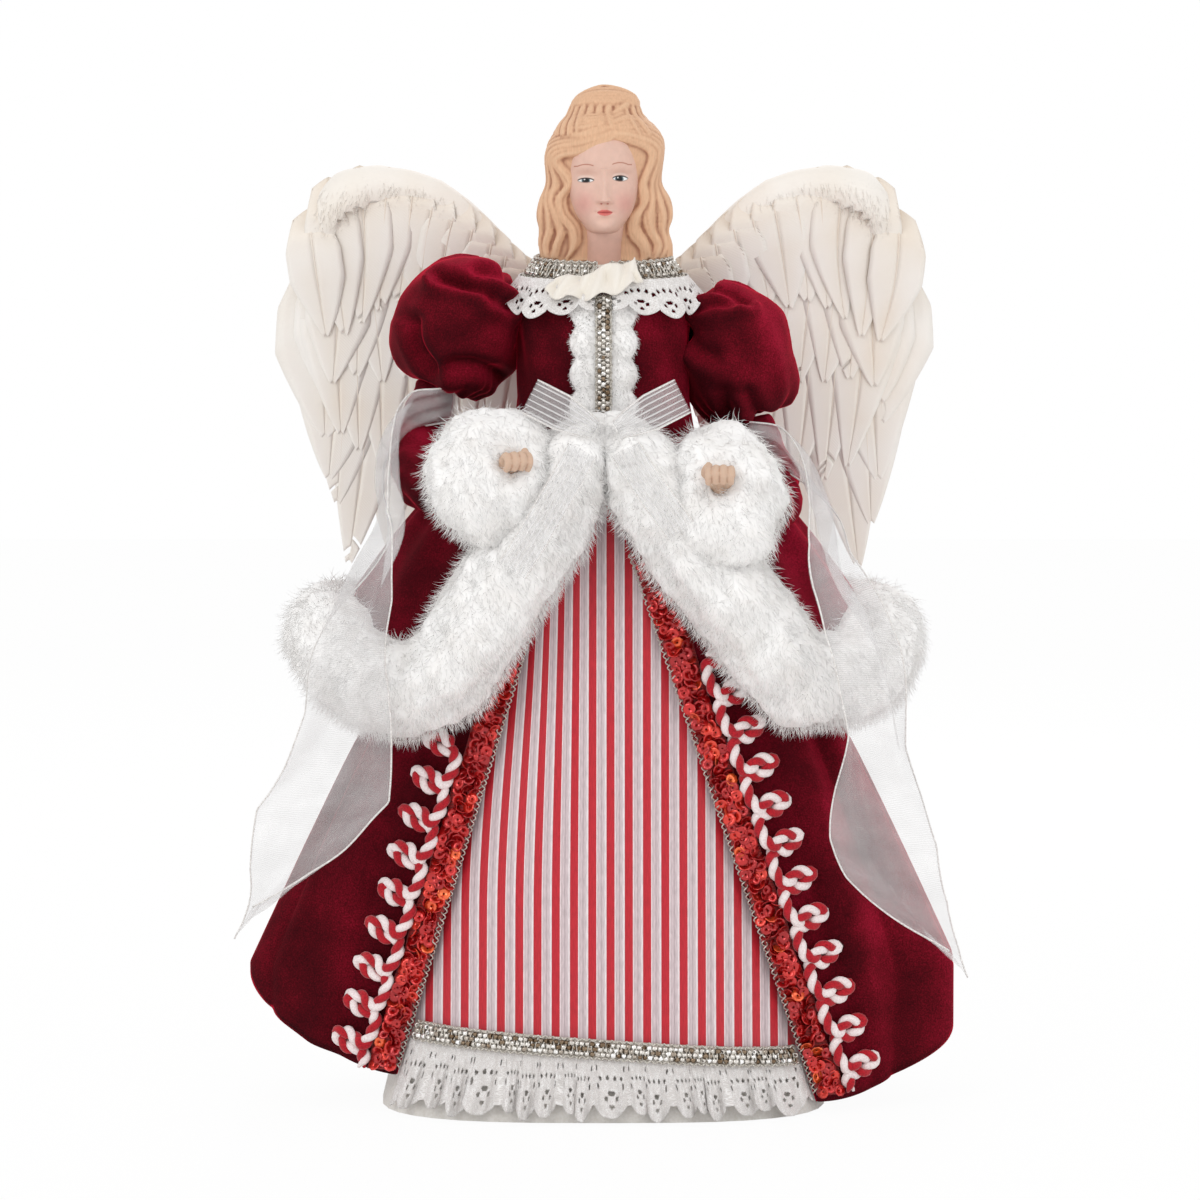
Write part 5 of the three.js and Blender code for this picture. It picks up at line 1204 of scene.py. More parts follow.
for hand, side in SIDES.items():
    dress(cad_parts["arm_wire_" + hand], steel)
    arm = ARMS[hand]
    puff = skin_of("sleeve_puff_" + hand, 1.6, 14, 0)
    puff.name = "velvet_puff_" + hand
    puff_line = [arm["top"], arm["middle"], arm["foot"]]

    def gathered(p, n):
        share, angle = along_line(puff_line, p)
        head = 1 - ramp(share, 0.0, 0.5)
        foot = ramp(share, 0.6, 1.0)
        pleats = np.abs(np.sin(4.5 * angle + 2.5 * np.sin(2 * angle + side) + 2 * share)) ** 0.8 - 0.5
        lift = 2.6 * pleats * (head ** 1.5 + 0.9 * foot ** 1.5)
        lift = lift + 1.1 * waves(p, 30, 11 if side < 0 else 12) - 0.6
        front = ramp(-p[:, 1], -8, 0)
        for marks, depth, width in PUFF_CREASES[hand]:
            # Each crease is a soft valley with a ridge beside it, fuller below
            off, below = from_crease(p, marks)
            ridge = np.exp(-((off - 2.4 * width) / (1.4 * width)) ** 2) * (0.35 + 0.65 * below)
            valley = np.exp(-(off / (1.3 * width)) ** 2)
            lift += depth * front * (0.9 * ridge - 1.5 * valley)
        return p + n * lift[:, None]

    move(puff, gathered)
    smoothed(puff, 3)
    dress(puff, velvet)
    fit_to(puff, ["sleeve_puff_" + hand])

    # Lower sleeve: a plain tube of velvet, bent at the elbow, where it creases across
    lower = skin_of("sleeve_lower_" + hand, 1.2, 10, 0)
    lower.name = "velvet_forearm_" + hand
    lower_line = [arm["foot"], arm["elbow"], arm["forearm"], arm["wrist"]]

    def creased(p, n):
        share, angle = along_line(lower_line, p)
        across = np.sin(70 * share + 1.2 * np.sin(2 * angle)) * (0.4 + 0.6 * np.sin(angle))
        return p + n * (0.5 * across + 0.8 * waves(p, 18, 21))[:, None]

    move(lower, creased)
    dress(lower, velvet)
    fit_to(lower, ["sleeve_lower_" + hand])

# Cast hands
# Small half-closed hands of painted resin, pushed on to the ends of the arm wires and let into the fur.
def new_painted(name, inputs, scale, detail, shades, strength, depth):
    """Cast resin in the colours of its points, which hold its paint and any painted shade and highlight,
    brushed unevenly between two shades of it, with fine bumps.
    """
    made, tree, surface = new_material(name, inputs)
    paint = add_node(tree, "ShaderNodeAttribute", attribute_name="paint").outputs["Color"]
    where = add_node(tree, "ShaderNodeTexCoord").outputs
    brushed_way = add_node(tree, "ShaderNodeMapping", {"Vector": where["Object"], "Scale": scale})
    grain = add_node(tree, "ShaderNodeTexNoise", {"Vector": brushed_way, "Scale": 1.0, "Detail": detail})
    shade = add_node(tree, "ShaderNodeMapRange", {
        "Value": grain, "From Min": 0.3, "From Max": 0.7, "To Min": shades[0], "To Max": shades[1]})
    tinted = add_node(tree, "ShaderNodeVectorMath", {0: paint, 3: shade}, operation="SCALE")
    bump = add_node(tree, "ShaderNodeBump", {"Height": grain, "Strength": strength, "Distance": depth * MM})
    set_inputs(surface, tree, {"Base Color": tinted, "Normal": bump})
    return made


# Matt paint over resin is even and waxy, with a grain about 2 mm wide
resin_skin = new_painted(
    "cast resin, matt skin paint", {"Roughness": 0.55, "Specular IOR Level": 0.3, "Subsurface Weight": 0.08,
                                    "Subsurface Radius": (0.003, 0.0015, 0.001)},
    (420.0, 420.0, 420.0), 4.0, (0.96, 1.03), 0.12, 0.15)


def paint_on(piece, colours):
    """Gives a piece's points their paint, with any painted shade and highlight, as linear colours."""
    marks = piece.data.color_attributes.new("paint", "FLOAT_COLOR", "POINT")
    full = np.ones((len(colours), 4), np.float32)
    full[:, :3] = colours
    marks.data.foreach_set("color", full.ravel())


def linear(colour):
    return np.array(srgb(colour)[:3])


def hollows_of(piece):
    """How deep each point lies in a groove, from -1 on a ridge to 1 in a groove."""
    p, n = places_of(piece)
    edges = np.empty(len(piece.data.edges) * 2, np.int32)
    piece.data.edges.foreach_get("vertices", edges)
    a, b = edges.reshape(-1, 2).T
    count = np.bincount(a, minlength=len(p)) + np.bincount(b, minlength=len(p))
    soft = p.copy()
    for _ in range(6):
        total = np.zeros_like(soft)
        np.add.at(total, a, soft[b])
        np.add.at(total, b, soft[a])
        soft = total / np.maximum(count, 1)[:, None]
    depth = np.einsum("ij,ij->i", soft - p, n)
    return np.clip(depth / (2 * depth.std() + 1e-9), -1, 1)


def melted(name, bodies, voxel, rounds, finish):
    """Bodies run together into one smooth casting."""
    return evened(new_bodies(name, bodies, finish), voxel, rounds)


for hand, side in SIDES.items():
    wrist, knuckles = (np.array(ARMS[hand][key], float) for key in ("wrist", "knuckles"))
    ahead = (knuckles - wrist) / np.linalg.norm(knuckles - wrist)
    across = np.cross(ahead, (0, 0, 1))
    across /= np.linalg.norm(across)
    up = np.cross(across, ahead)

    def at_hand(x, y, z):
        return wrist + x * across + y * ahead + z * up

    def limb(marks, radii):
        path = through([at_hand(*m) for m in marks], 16)
        return swept(path, np.interp(np.linspace(0, 1, 17), np.linspace(0, 1, len(radii)), radii), 10)

    bodies = [limb([(0, 2, 0), (0, 12, 0), (0, 15, 0)], [5.6, 5.2, 3.5])]
    for x, r in [(-2.2, 3.1), (0, 3.4), (2.2, 3.1)]:
        bodies.append(limb([(x, 10, 0), (x, 17, 0.6), (x, 21, 1)], [2.6, r, 2.4]))
    for finger in range(4):
        x = (finger - 1.5) * 2.9
        reach = 26 - 0.9 * abs(finger - 1.4)
        bodies.append(limb([(x, 19, 1.2), (x, reach, 1.6), (x, reach + 1.2, -1.4), (x, reach - 2.6, -3.6)],
                           [1.7, 1.62, 1.5, 1.25]))
    thumb = [(4.2 * side, 14, 1), (5.8 * side, 18.5, 3.2), (4 * side, 22.5, 4.6)]
    bodies.append(limb(thumb, [2.1, 1.8, 1.4]))
    cast = melted("cast_hand_" + hand, bodies, 0.42, 3, resin_skin)
    # Painted shade: the hands are painted darker in their hollows, between the fingers and in the creases
    deep = hollows_of(cast)
    paint_on(cast, mix(linear("#d3b49d"), linear("#a97e68"), np.clip(deep, 0, 1)[:, None] * 0.7))
    fit_to(cast, ["hand_" + hand])

# Placket and its beads
# White plush tape with scalloped edges is sewn down the middle of the bodice, under a tape of silver beads.
PLACKET_WIDTH = 27
PLACKET_HEIGHT = 50
PLACKET_THICKNESS = 3
PLACKET_SCALLOPS = 4
PLACKET_SCALLOP_DEPTH = 2.6
PLACKET_FOOT = TORSO_FOOT + 0.14 * TORSO_HEIGHT
BEAD_STRIP_WIDTH = 6.4


def on_chest(x, z, out):
    w, d = torso_half(np.clip((z - TORSO_FOOT) / TORSO_HEIGHT, 0, 1))
    bend = (1 - (np.abs(x) / (w + BODICE_OUT)) ** BODY_OVAL_POWER) ** (1 / BODY_OVAL_POWER)
    return stack(x, -(d + BODICE_OUT) * bend - out, z)


def placket_edge(v):
    """How full the scallops are at a height, from 0 to 1, and the placket's half width there."""
    bulge = np.abs(np.sin(math.pi * PLACKET_SCALLOPS * v))
    return bulge, PLACKET_WIDTH / 2 - PLACKET_SCALLOP_DEPTH * (1 - bulge)


def placket_face(u, v):
    bulge, half = placket_edge(v)
    beside = np.abs(2 * u - 1)
    crown = 2.4 * np.sqrt(np.clip(1 - beside ** 3, 0, 1)) * (0.65 + 0.35 * bulge)
    return on_chest((2 * u - 1) * half, PLACKET_FOOT + v * PLACKET_HEIGHT, 1.0 + crown)


def placket_back(u, v):
    return on_chest((2 * u - 1) * placket_edge(v)[1] * 0.97, PLACKET_FOOT + v * PLACKET_HEIGHT, 0.6)


placket = new_sheet("plush_placket", 40, 120, placket_face, placket_back, (27, 50), fur_white)
grow_pile(placket, 1.8, 1.8, 0.11, 0.5, (0, 0, -0.3), 0.8, 11, fur_white)
fit_to(placket, ["placket_felt"])

TAPE_OUT = PLACKET_THICKNESS + FIT + 0.9


def on_tape(u, up, out):
    beside = (up - BEAD_STRIP_WIDTH / 2) * np.ones_like(u)
    return on_chest(beside, PLACKET_FOOT + u * PLACKET_HEIGHT, TAPE_OUT + out)


bead_tape = braid_band("placket_bead_tape", on_tape, PLACKET_HEIGHT, BEAD_STRIP_WIDTH, 2.1, 0.95, 0.26)
fit_to(bead_tape, ["placket_beads"])

# Collar: silver braid and lace
# A metal-thread braid round the neck of the bodice, and scalloped lace that falls from it over the shoulders.
COLLAR_HALF = (31, 21)
COLLAR_TOP_HALF = (26, 17.5)
COLLAR_BRAID_HEIGHT = 8
COLLAR_RISE = 70
COLLAR_DIP = 4.5
COLLAR_GAP_ANGLE = math.radians(5)
COLLAR_LACE_POINTS = 20
COLLAR_EYELET_SHARES = [
    (0, 0.3, 0.07, 0.06), (0.28, 0.35, 0.07, 0.07), (0, 0.62, 0.14, 0.06), (0.22, 0.72, 0.06, 0.06),
    (0, 0.82, 0.08, 0.05), (0.45, 0.5, 0.04, 0.08)]


def on_collar(angle, reach, z):
    foot = WAIST + COLLAR_RISE - COLLAR_DIP * (1 + np.cos(angle)) / 2
    w, d = COLLAR_HALF
    return stack((w + reach) * np.sin(angle), -(d + reach) * np.cos(angle), foot + z)


def collar_angle(u):
    return mix(COLLAR_GAP_ANGLE, 2 * math.pi - COLLAR_GAP_ANGLE, u)


def leaning_in(angle, up, out):
    """A point on the braid, which leans in from its foot to its top."""
    place = on_collar(angle, out, up)
    for axis in (0, 1):
        place[..., axis] *= mix(1, COLLAR_TOP_HALF[axis] / COLLAR_HALF[axis], up / COLLAR_BRAID_HEIGHT)
    return place


def collar_face(u, up, out):
    return leaning_in(collar_angle(u), up, out)


collar = braid_band("collar_metal_braid", collar_face, 150, COLLAR_BRAID_HEIGHT, 2.6, 0.85, 0.34)
fit_to(collar, ["collar_braid"])


def collar_lace_face(u, v):
    wander = COLLAR_LACE_POINTS * u
    point = np.abs(np.cos(math.pi * wander)) ** 0.8
    # The lace reaches furthest over the front of the shoulders
    angle = collar_angle(u)
    over = np.exp(-((np.abs(math.pi - np.abs(angle - math.pi)) - 0.75) / 0.5) ** 2)
    length = 11 + 4.5 * over - 3.2 * (1 - point)
    wave = 1.5 * np.cos(2 * math.pi * wander * 0.5) * v
    reach = 2.6 + v * (7.2 + 2.5 * over) + wave
    return on_collar(angle, reach, 0.6 - v * length)


def collar_lace_kept(u, v):
    return pierced(COLLAR_LACE_POINTS * u + 0.5, v, COLLAR_EYELET_SHARES)


collar_lace = new_cloth("collar_lace_frill", 520, 30, collar_lace_face, 0.5, (180, 14), lace_white,
                        collar_lace_kept)


def fold_face(u, v):
    """The end of the lace's plain heading, turned in waves across the throat."""
    top = mix(0, 9.5, u) + 1.2 * np.sin(4 * math.pi * u)
    foot = mix(-5, 1, u) - 4 * np.sin(math.pi * u) + 1.3 * np.cos(7 * math.pi * u)
    pleat = np.abs(np.sin(3.5 * math.pi * u - 1.3 * v)) + 0.4 * np.sin(11 * math.pi * u + 4 * v)
    return leaning_in(mix(-0.6, 0.42, u), mix(top, foot, v), 2.8 + 3.2 * pleat + 2.5 * v)


# The unpierced heading of the lace is denser, so it looks creamier
heading_cream, tree, surface = new_material(
    "cotton lace, cream heading", {"Base Color": srgb("#efe9df"), "Roughness": 0.85, "Sheen Weight": 0.3})
fold = new_cloth("collar_front_fold", 80, 16, fold_face, 0.5, (34, 12), heading_cream)
collar_lace = joined("collar_lace_frill", [collar_lace, fold])
fit_to(collar_lace, ["collar_lace"])

# Organza bow
# Sheer nylon ribbon with woven stripes and wired edges, tied in a bow over the furs at the waist.
BOW_X = 1
BOW_HEIGHT = WAIST + 6
BOW_STANDOFF = 47
BOW_KNOT_RADIUS = 4.4
BOW_RISE_ANGLE = math.radians(27)
BOW_LOOP_LENGTH = 33
BOW_LOOP_DEPTH = 4.6
BOW_WIDTH = 14
BOW_TAIL_WIDTH = 12
BOW_TAIL_SHARES = {"left": (0.035, 0.2), "right": (0.035, 0.155)}
RIBBON = 0.35
FUR_LINE_STEPS = 400


def new_organza(name, alpha, stripes):
    """Sheer cloth: clear between its threads, with closed stripes of thicker yarn along its length."""
    made, tree, surface = new_material(
        name, {"Roughness": 0.45, "Specular IOR Level": 0.4, "Sheen Weight": 0.3})
    cloth = add_node(tree, "ShaderNodeUVMap", uv_map="cut")
    # Its threads are a quarter of a millimetre apart, too fine to show, so they are drawn as a faint ripple
    weave = add_node(tree, "ShaderNodeTexWave", {"Vector": cloth, "Scale": 420.0, "Distortion": 3.0})
    cloud = add_node(tree, "ShaderNodeTexNoise", {"Vector": cloth, "Scale": 90.0, "Detail": 3.0})
    colour = add_node(tree, "ShaderNodeValToRGB", {"Fac": cloud}, ramp=[(0.3, "#dcdada"), (0.7, "#f6f5f5")])
    show = add_node(tree, "ShaderNodeMapRange", {
        "Value": weave, "To Min": alpha * 0.85, "To Max": alpha * 1.15})
    if stripes:
        place = add_node(tree, "ShaderNodeSeparateXYZ", {0: cloth})
        cut = add_node(tree, "ShaderNodeMath", {0: place.outputs["Y"], 1: stripes * MM}, operation="MODULO")
        cut = add_node(tree, "ShaderNodeMath", {0: cut, 1: stripes * MM}, operation="DIVIDE")
        line = add_node(tree, "ShaderNodeValToRGB", {"Fac": cut}, ramp=[
            (0.0, "#000000"), (0.42, "#000000"), (0.47, "#c8c8c8"), (0.58, "#c8c8c8"), (0.63, "#000000")])
        show = add_node(tree, "ShaderNodeMath", {0: line, 1: show}, operation="MAXIMUM")
    bump = add_node(tree, "ShaderNodeBump", {"Height": weave, "Strength": 0.2, "Distance": 0.1 * MM})
    set_inputs(surface, tree, {"Base Color": colour, "Alpha": show, "Normal": bump})
    return made


organza_striped = new_organza("nylon organza ribbon, striped", 0.12, 2.0)
organza = new_organza("nylon organza, plain", 0.24, 0)
# The wrapped wire is closed, so the edges show whiter than the cloth
wired_edge = new_mottled("nylon-wrapped wire edge", {"Roughness": 0.4, "Sheen Weight": 0.3}, 1600.0, 2.0,
                         [(0.35, "#cfcac6"), (0.65, "#f5f3f1")])


def ribbon_between(name, middle, half, steps, columns, finish, crimp, cord=0.3):
    """A ribbon from its middle and its half widths, with a cord in each edge, and its flat size."""
    middle, half = through(middle, steps), np.asarray(half, float)
    share = np.linspace(0, 1, steps + 1)
    half = np.stack([np.interp(share, np.linspace(0, 1, len(half)), half[:, k]) for k in range(3)], axis=-1)
    off = np.cross(np.gradient(middle, axis=0), half)
    off /= np.linalg.norm(off, axis=1, keepdims=True)

    def face(u, v):
        row = np.rint(v * steps).astype(int)
        return middle[row] + half[row] * (2 * u - 1)[..., None] + off[row] * crimp(u, v)[..., None]

    width = 2 * np.linalg.norm(half, axis=1).mean()
    length = way_along(middle)[-1]
    cloth = new_cloth(name, columns, steps, face, RIBBON, (width, length), finish)
    # The stripes run along the ribbon, so its map is turned
    layer = cloth.data.uv_layers["cut"].data
    turned = np.empty(len(layer) * 2, np.float32)
    layer.foreach_get("uv", turned)
    layer.foreach_set("uv", turned.reshape(-1, 2)[:, ::-1].ravel())
    edges = [swept(face(np.full(steps + 1, end), share), cord, 6) for end in (0.0, 1.0)]
    ribbon = joined(name, [cloth, new_bodies(name + "_edges", edges, wired_edge)])
    return ribbon, (round(float(length) * MM, 3), round(float(width) * MM, 3))


def fur_line(hand):
    """The line of the fur binding, from the waist down the front, round the corner and back along the hem."""
    marks = [on_peplum(hand, PEPLUM_TOP_ANGLE, 0, 5) + (0, 0, 5)]
    for v in (0, 0.3, 0.62, 0.9):
        marks.append(on_peplum(hand, peplum_edge(hand, v), v, mix(10, 2.5, v)))
    for share in (0.12, 0.27, 0.45, 0.63, 0.82):
        marks.append(on_peplum(hand, mix(PEPLUM_CORNER_ANGLES[hand], math.pi, share), 1, 2.5))
    return through(marks + [on_peplum(hand, math.pi, 1, 2.5)], FUR_LINE_STEPS)


knot_place = np.array([BOW_X, -BOW_STANDOFF, BOW_HEIGHT])
wraps = []
for turn in range(5):
    lift = (turn - 2) * 1.5
    a = np.arange(13) * math.pi / 6
    ring = knot_place + stack((3.6 - 0.25 * abs(lift)) * np.cos(a), 4.6 * np.sin(a) + 0.2 * turn,
                              lift + 0.5 * np.sin(a + turn))
    wraps.append(swept(ring, 0.95, 6, 0.7))
knot = melted("organza_bow_knot", wraps, 0.35, 2, organza_striped)
fit_to(knot, ["bow_knot"])

for hand, side in SIDES.items():
    c, s = math.cos(BOW_RISE_ANGLE), math.sin(BOW_RISE_ANGLE)
    way = [(0, 0.42, 0.5), (0.25, 0.85, 0.8), (0.62, 1, 1), (0.93, 0.55, 1), (1, 0, 1)]
    way += [(along, -depth, width) for along, depth, width in way[-2::-1]]
    middle, half = [], []
    for along, depth, width in way:
        reach = BOW_KNOT_RADIUS + FIT + along * (BOW_LOOP_LENGTH - BOW_KNOT_RADIUS)
        forward = -BOW_STANDOFF - depth * BOW_LOOP_DEPTH
        middle.append((BOW_X + side * reach * c, forward, BOW_HEIGHT + reach * s))
        half.append(np.array((-side * s, 0, c)) * BOW_WIDTH / 2 * width)
    loop, flat = ribbon_between("organza_bow_loop_" + hand, middle, half, 60, 16, organza_striped,
                                lambda u, v: 0.5 * np.sin(9 * u) * (1 - np.sin(math.pi * v)))
    fit_to(loop, ["bow_loop_" + hand])

    line = fur_line(hand)
    shares = mix(*BOW_TAIL_SHARES[hand], np.linspace(0, 1, 7))
    middle, half = [], []
    for share in shares:
        i = int(share * FUR_LINE_STEPS)
        ahead = line[i + 1] - line[i - 1]
        across = np.cross(ahead, (0, 1, 0))
        across *= BOW_TAIL_WIDTH / 2 / np.linalg.norm(across)
        radius = min(1, 0.6 + 9 * share) * mix(FUR_WAIST_RADIUS, FUR_RADIUS, ramp(share, 0, 0.2))
        middle.append(line[i] - (0, radius + 4.6, 0))
        half.append(across)
    tail, flat = ribbon_between("organza_bow_tail_" + hand, middle, half, 60, 14, organza_striped,
                                lambda u, v: 0.6 * np.sin(5 * u + 4 * v))
    fit_to(tail, ["bow_tail_" + hand])

# Organza scarves
# Two lengths of plain sheer ribbon, caught at the elbows. They fall beside the skirt and flare at their ends.
SCARVES = {
    # places along the middle of each scarf, and from there to its edge
    "left": [
        (-58, -2, 279, 1, -3, 7), (-66, -9, 278, 0, -4, 8), (-76, -10, 276, 3, -5, 8),
        (-84, -18, 267, 4, -7, 5), (-86, -34, 250, 4, -9, 3), (-84, -50, 231, 9, -7, 4),
        (-92, -63, 206, 13, -6, 3), (-99, -67, 184, 14, -6, 2), (-100, -66, 160, 14, -7, 2),
        (-104, -62, 138, 20, -6, 3), (-113, -61, 116, 26, -5, 2), (-120, -57, 98, 22, -8, 8),
        (-130, -54, 86, 14, -8, 9), (-141, -50, 77, 4, -5, 7)],
    "right": [
        (53, -2, 265, -1, -3, 7), (60, -9, 264, 0, -4, 8), (70, -10, 262, -3, -5, 8),
        (80, -18, 253, -4, -7, 5), (86, -34, 238, -4, -9, 4), (88, -50, 222, -10, -7, 5),
        (97, -62, 200, -14, -6, 3), (103, -66, 178, -14, -6, 0), (105, -66, 156, -14, -7, 4),
        (107, -62, 134, -18, -6, 3), (108, -61, 114, -21, -5, 2), (113, -59, 94, -20, -8, 6),
        (124, -56, 76, -14, -8, 8), (139, -52, 61, -4, -5, 6)],
}
SCARF_RUFFLE = 5
for hand, rows in SCARVES.items():
    rows = np.array(rows, float)

    def crimp(u, v):
        slow = SCARF_RUFFLE * np.sin(math.pi * v) * np.cos(2 * math.pi * (1.5 * u + 1.6 * v))
        return slow + 1.7 * np.sin(17 * u + 13 * v + 2.5 * np.sin(9 * v)) * np.sin(math.pi * v) ** 0.5

    scarf, flat = ribbon_between("organza_scarf_" + hand, rows[:, :3], rows[:, 3:], 150, 36, organza, crimp,
                                 0.35)
    fit_to(scarf, ["scarf_" + hand])

# Feather wings
# Each wing is a bent steel wire, with rows of white goose feathers glued below it and down over their quills.
WING_ROOT = (11, 33, 318)
WING_SWEEP_SHARE = 0.24
WING_LEAN_SHARE = 0.15
WING_RIDGE = [(17, 322), (28, 328), (42, 339), (54, 351), (67, 361), (83, 366.5), (98, 365), (108, 357),
              (111.5, 343), (111, 325)]
WING_CORNER = (107, 361)  # the outer shoulder of the wing, where the small feathers and the down stand fuller
CORNER_SPREAD = 300  # in square millimetres
COVERT_FULLNESS = 6.5
DOWN_FULLNESS = 6
ROOT_IN = 1.9
VANE_THICKNESS = 0.14
BARB = 1.1  # distance between the barbs along the quill, as coarse as it needs to be to show
FEATHER_ROWS = [
    # how many feathers, where along the wire they start, how far in from it, how far forward the row lies at
    # its roots, over the wire and at its tips, and the tips' places
    ("primaries", 9, 0.32, ROOT_IN, (-2.0, -2.0, -2.2),
     [(46, 246), (64, 214), (84, 205), (103, 207), (112, 232), (115, 262), (117, 294)]),
    ("secondaries", 9, 0.26, ROOT_IN, (-0.5, -0.4, -1.5),
     [(34, 272), (56, 250), (76, 243), (95, 250), (109, 266), (118, 282)]),
    ("coverts", 9, 0.2, ROOT_IN, (1.0, 1.3, -0.3),
     [(28, 300), (46, 288), (64, 286), (84, 288), (102, 286), (117, 286)]),
    ("coverts", 12, 0.06, -6.5, (1.5, 9.0, 1.5),
     [(25, 304), (40, 310), (56, 316), (74, 318), (92, 314), (106, 306), (118, 302)]),
]
# Card is matt and off-white, with a film of glue over its fibres
plate_card = new_mottled("white card, glued", {"Roughness": 0.8}, 700.0, 4.0,
                         [(0.3, "#d9d3c8"), (0.7, "#ece8e0")])
dress(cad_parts["wing_plate"], plate_card)

# Feathers are soft and matt. They are nearly white at their edges, and darker and tan beside the quill and at
# the root, a painted shade
feather_white, tree, surface = new_material(
    "goose feather, bleached", {"Roughness": 0.85, "Specular IOR Level": 0.1, "Sheen Weight": 0.3})
shade = add_node(tree, "ShaderNodeAttribute", attribute_name="tint")
where = add_node(tree, "ShaderNodeTexCoord").outputs
cloud = add_node(tree, "ShaderNodeTexNoise", {"Vector": where["Object"], "Scale": 30.0, "Detail": 2.0})
both = add_node(tree, "ShaderNodeMath", {0: shade.outputs["Fac"], 1: cloud}, operation="ADD")
half = add_node(tree, "ShaderNodeMath", {0: both, 1: 0.5}, operation="MULTIPLY")
colour = add_node(tree, "ShaderNodeValToRGB", {"Fac": half}, ramp=[
    (0.15, "#dcc5a8"), (0.38, "#ecdfd0"), (0.6, "#f2ebe2"), (0.8, "#f7f3ee")])
barb = add_node(tree, "ShaderNodeAttribute", attribute_name="barb")
barb = add_node(tree, "ShaderNodeMath", {0: barb.outputs["Fac"], 1: 2 * math.pi / BARB}, operation="MULTIPLY")
barb = add_node(tree, "ShaderNodeMath", {0: barb}, operation="SINE")
bump = add_node(tree, "ShaderNodeBump", {"Height": barb, "Strength": 0.12, "Distance": 0.12 * MM})
set_inputs(surface, tree, {"Base Color": colour, "Normal": bump})


def wing_point(side, place, out):
    x, z = place[..., 0], place[..., 1]
    y = WING_ROOT[1] + WING_SWEEP_SHARE * (x - WING_ROOT[0]) + WING_LEAN_SHARE * (WING_ROOT[2] - z)
    return stack(side * x, y - out, z)


def flat_line(marks, steps):
    marks = np.asarray(marks, float)
    return through(np.stack([marks[:, 0], 0 * marks[:, 0], marks[:, 1]], axis=-1), steps)[:, (0, 2)]


def on_line(line, share):
    place = np.clip(np.asarray(share) * (len(line) - 1), 0, len(line) - 1)
    return np.stack([np.interp(place, np.arange(len(line)), line[:, k]) for k in (0, 1)], axis=-1)


def at_corner(x, z):
    """1 at the corner of the wing, falling off round it."""
    return np.exp(-((x - WING_CORNER[0]) ** 2 + (z - WING_CORNER[1]) ** 2) / CORNER_SPREAD)


def slab(front, back):
    """A closed body between two grids of points."""
    rows, columns = front.shape[:2]
    count = rows * columns
    i = np.arange(count).reshape(rows, columns)
    quads = np.stack([i[:-1, :-1], i[:-1, 1:], i[1:, 1:], i[1:, :-1]], axis=-1).reshape(-1, 4)
    rim = np.concatenate([i[0, :-1], i[:-1, -1], i[-1, :0:-1], i[:0:-1, 0]])
    ahead = np.roll(rim, -1)
    sides = np.stack([ahead, rim, rim + count, ahead + count], axis=1)
    faces = np.concatenate([quads, quads[:, ::-1] + count, sides])
    points = np.concatenate([front.reshape(-1, 3), back.reshape(-1, 3)])
    if volume_sign(points, faces.tolist()) < 0:
        faces = faces[:, ::-1]
    return points, faces.tolist()


def new_feather(side, root, tip, width, rises, seed):
    """One feather of the wing: its quill, and a smooth vane on each side that splits here and there."""
    r = np.random.default_rng(seed)
    root, tip = np.asarray(root, float), np.asarray(tip, float)
    tip = root + (tip - root) * (0.99 + r.normal(0, 0.035))
    length = np.linalg.norm(tip - root)
    ahead = (tip - root) / length
    beside = np.array([-ahead[1], ahead[0]])
    curl = r.normal(0, 0.02) * length

    def place(along, across):
        off = across + curl * np.sin(math.pi * along)
        flat = root + ahead * (along * length)[..., None] + beside * off[..., None]
        # Each feather lies over the row below, tilted so that it overlaps its neighbour like a tile
        lift = mix(rises[0], rises[1], ramp(along, 0, 0.25)) + (rises[2] - rises[1]) * ramp(along, 0.2, 1)
        lift = lift - 0.012 * across - 0.1 * (2 * across / width) ** 2
        return wing_point(side, flat, lift)

    quill_line = place(np.linspace(0.14, 0.93, 20), np.zeros(20))
    bodies = [swept(quill_line + (0, 0.1, 0), np.linspace(0.5, 0.12, 20), 5)]
    tints = [np.full(len(bodies[0][0]), 0.42)]
    barbs = [np.zeros(len(bodies[0][0]))]
    count = int(length / 1.5)
    start = np.linspace(0.01, 0.99, count)
    sections = np.linspace(0, 1, 6)
    for turn in (-1, 1):
        # The vane narrows to its tip, where its barbs cling in groups that split from each other
        outline = width / 2 * np.minimum(1, 0.6 + 2 * start) * np.minimum(1, ((1.01 - start) / 0.6) ** 0.9)
        group = np.cumsum(r.uniform(0, 1, count) < 0.05 * ramp(start, 0.85, 1))
        sweep = r.normal(0, 0.02, group.max() + 1)[group] * ramp(start, 0.5, 1)
        reach = 0.3 + outline * (1 + r.normal(0, 0.04, group.max() + 1)[group] * ramp(start, 0.4, 0.8))
        slant = 0.5 + 0.3 * start + sweep
        forward = start[:, None] + reach[:, None] * np.tan(slant)[:, None] * sections[None] ** 1.3 / length
        front = place(forward, turn * reach[:, None] * sections[None])
        # Painted shade: each vane is darker beside the quill and towards its root
        shade = 0.66 + 0.3 * sections[None] - 0.4 * (1 - ramp(start, 0, 0.4))[:, None]
        along = (start * length)[:, None] + 0 * shade
        for one in range(group.max() + 1):
            rows = np.flatnonzero(group == one)
            if len(rows) < 2:
                continue
            rows = slice(rows[0], rows[-1] + 1)
            thin = np.stack([0 * sections, VANE_THICKNESS * (1 - 0.85 * sections), 0 * sections], axis=-1)
            bodies.append(slab(front[rows], front[rows] + thin))
            tints.append(np.tile(shade[rows].ravel(), 2))
            barbs.append(np.tile(along[rows].ravel(), 2))
    return bodies, tints, barbs


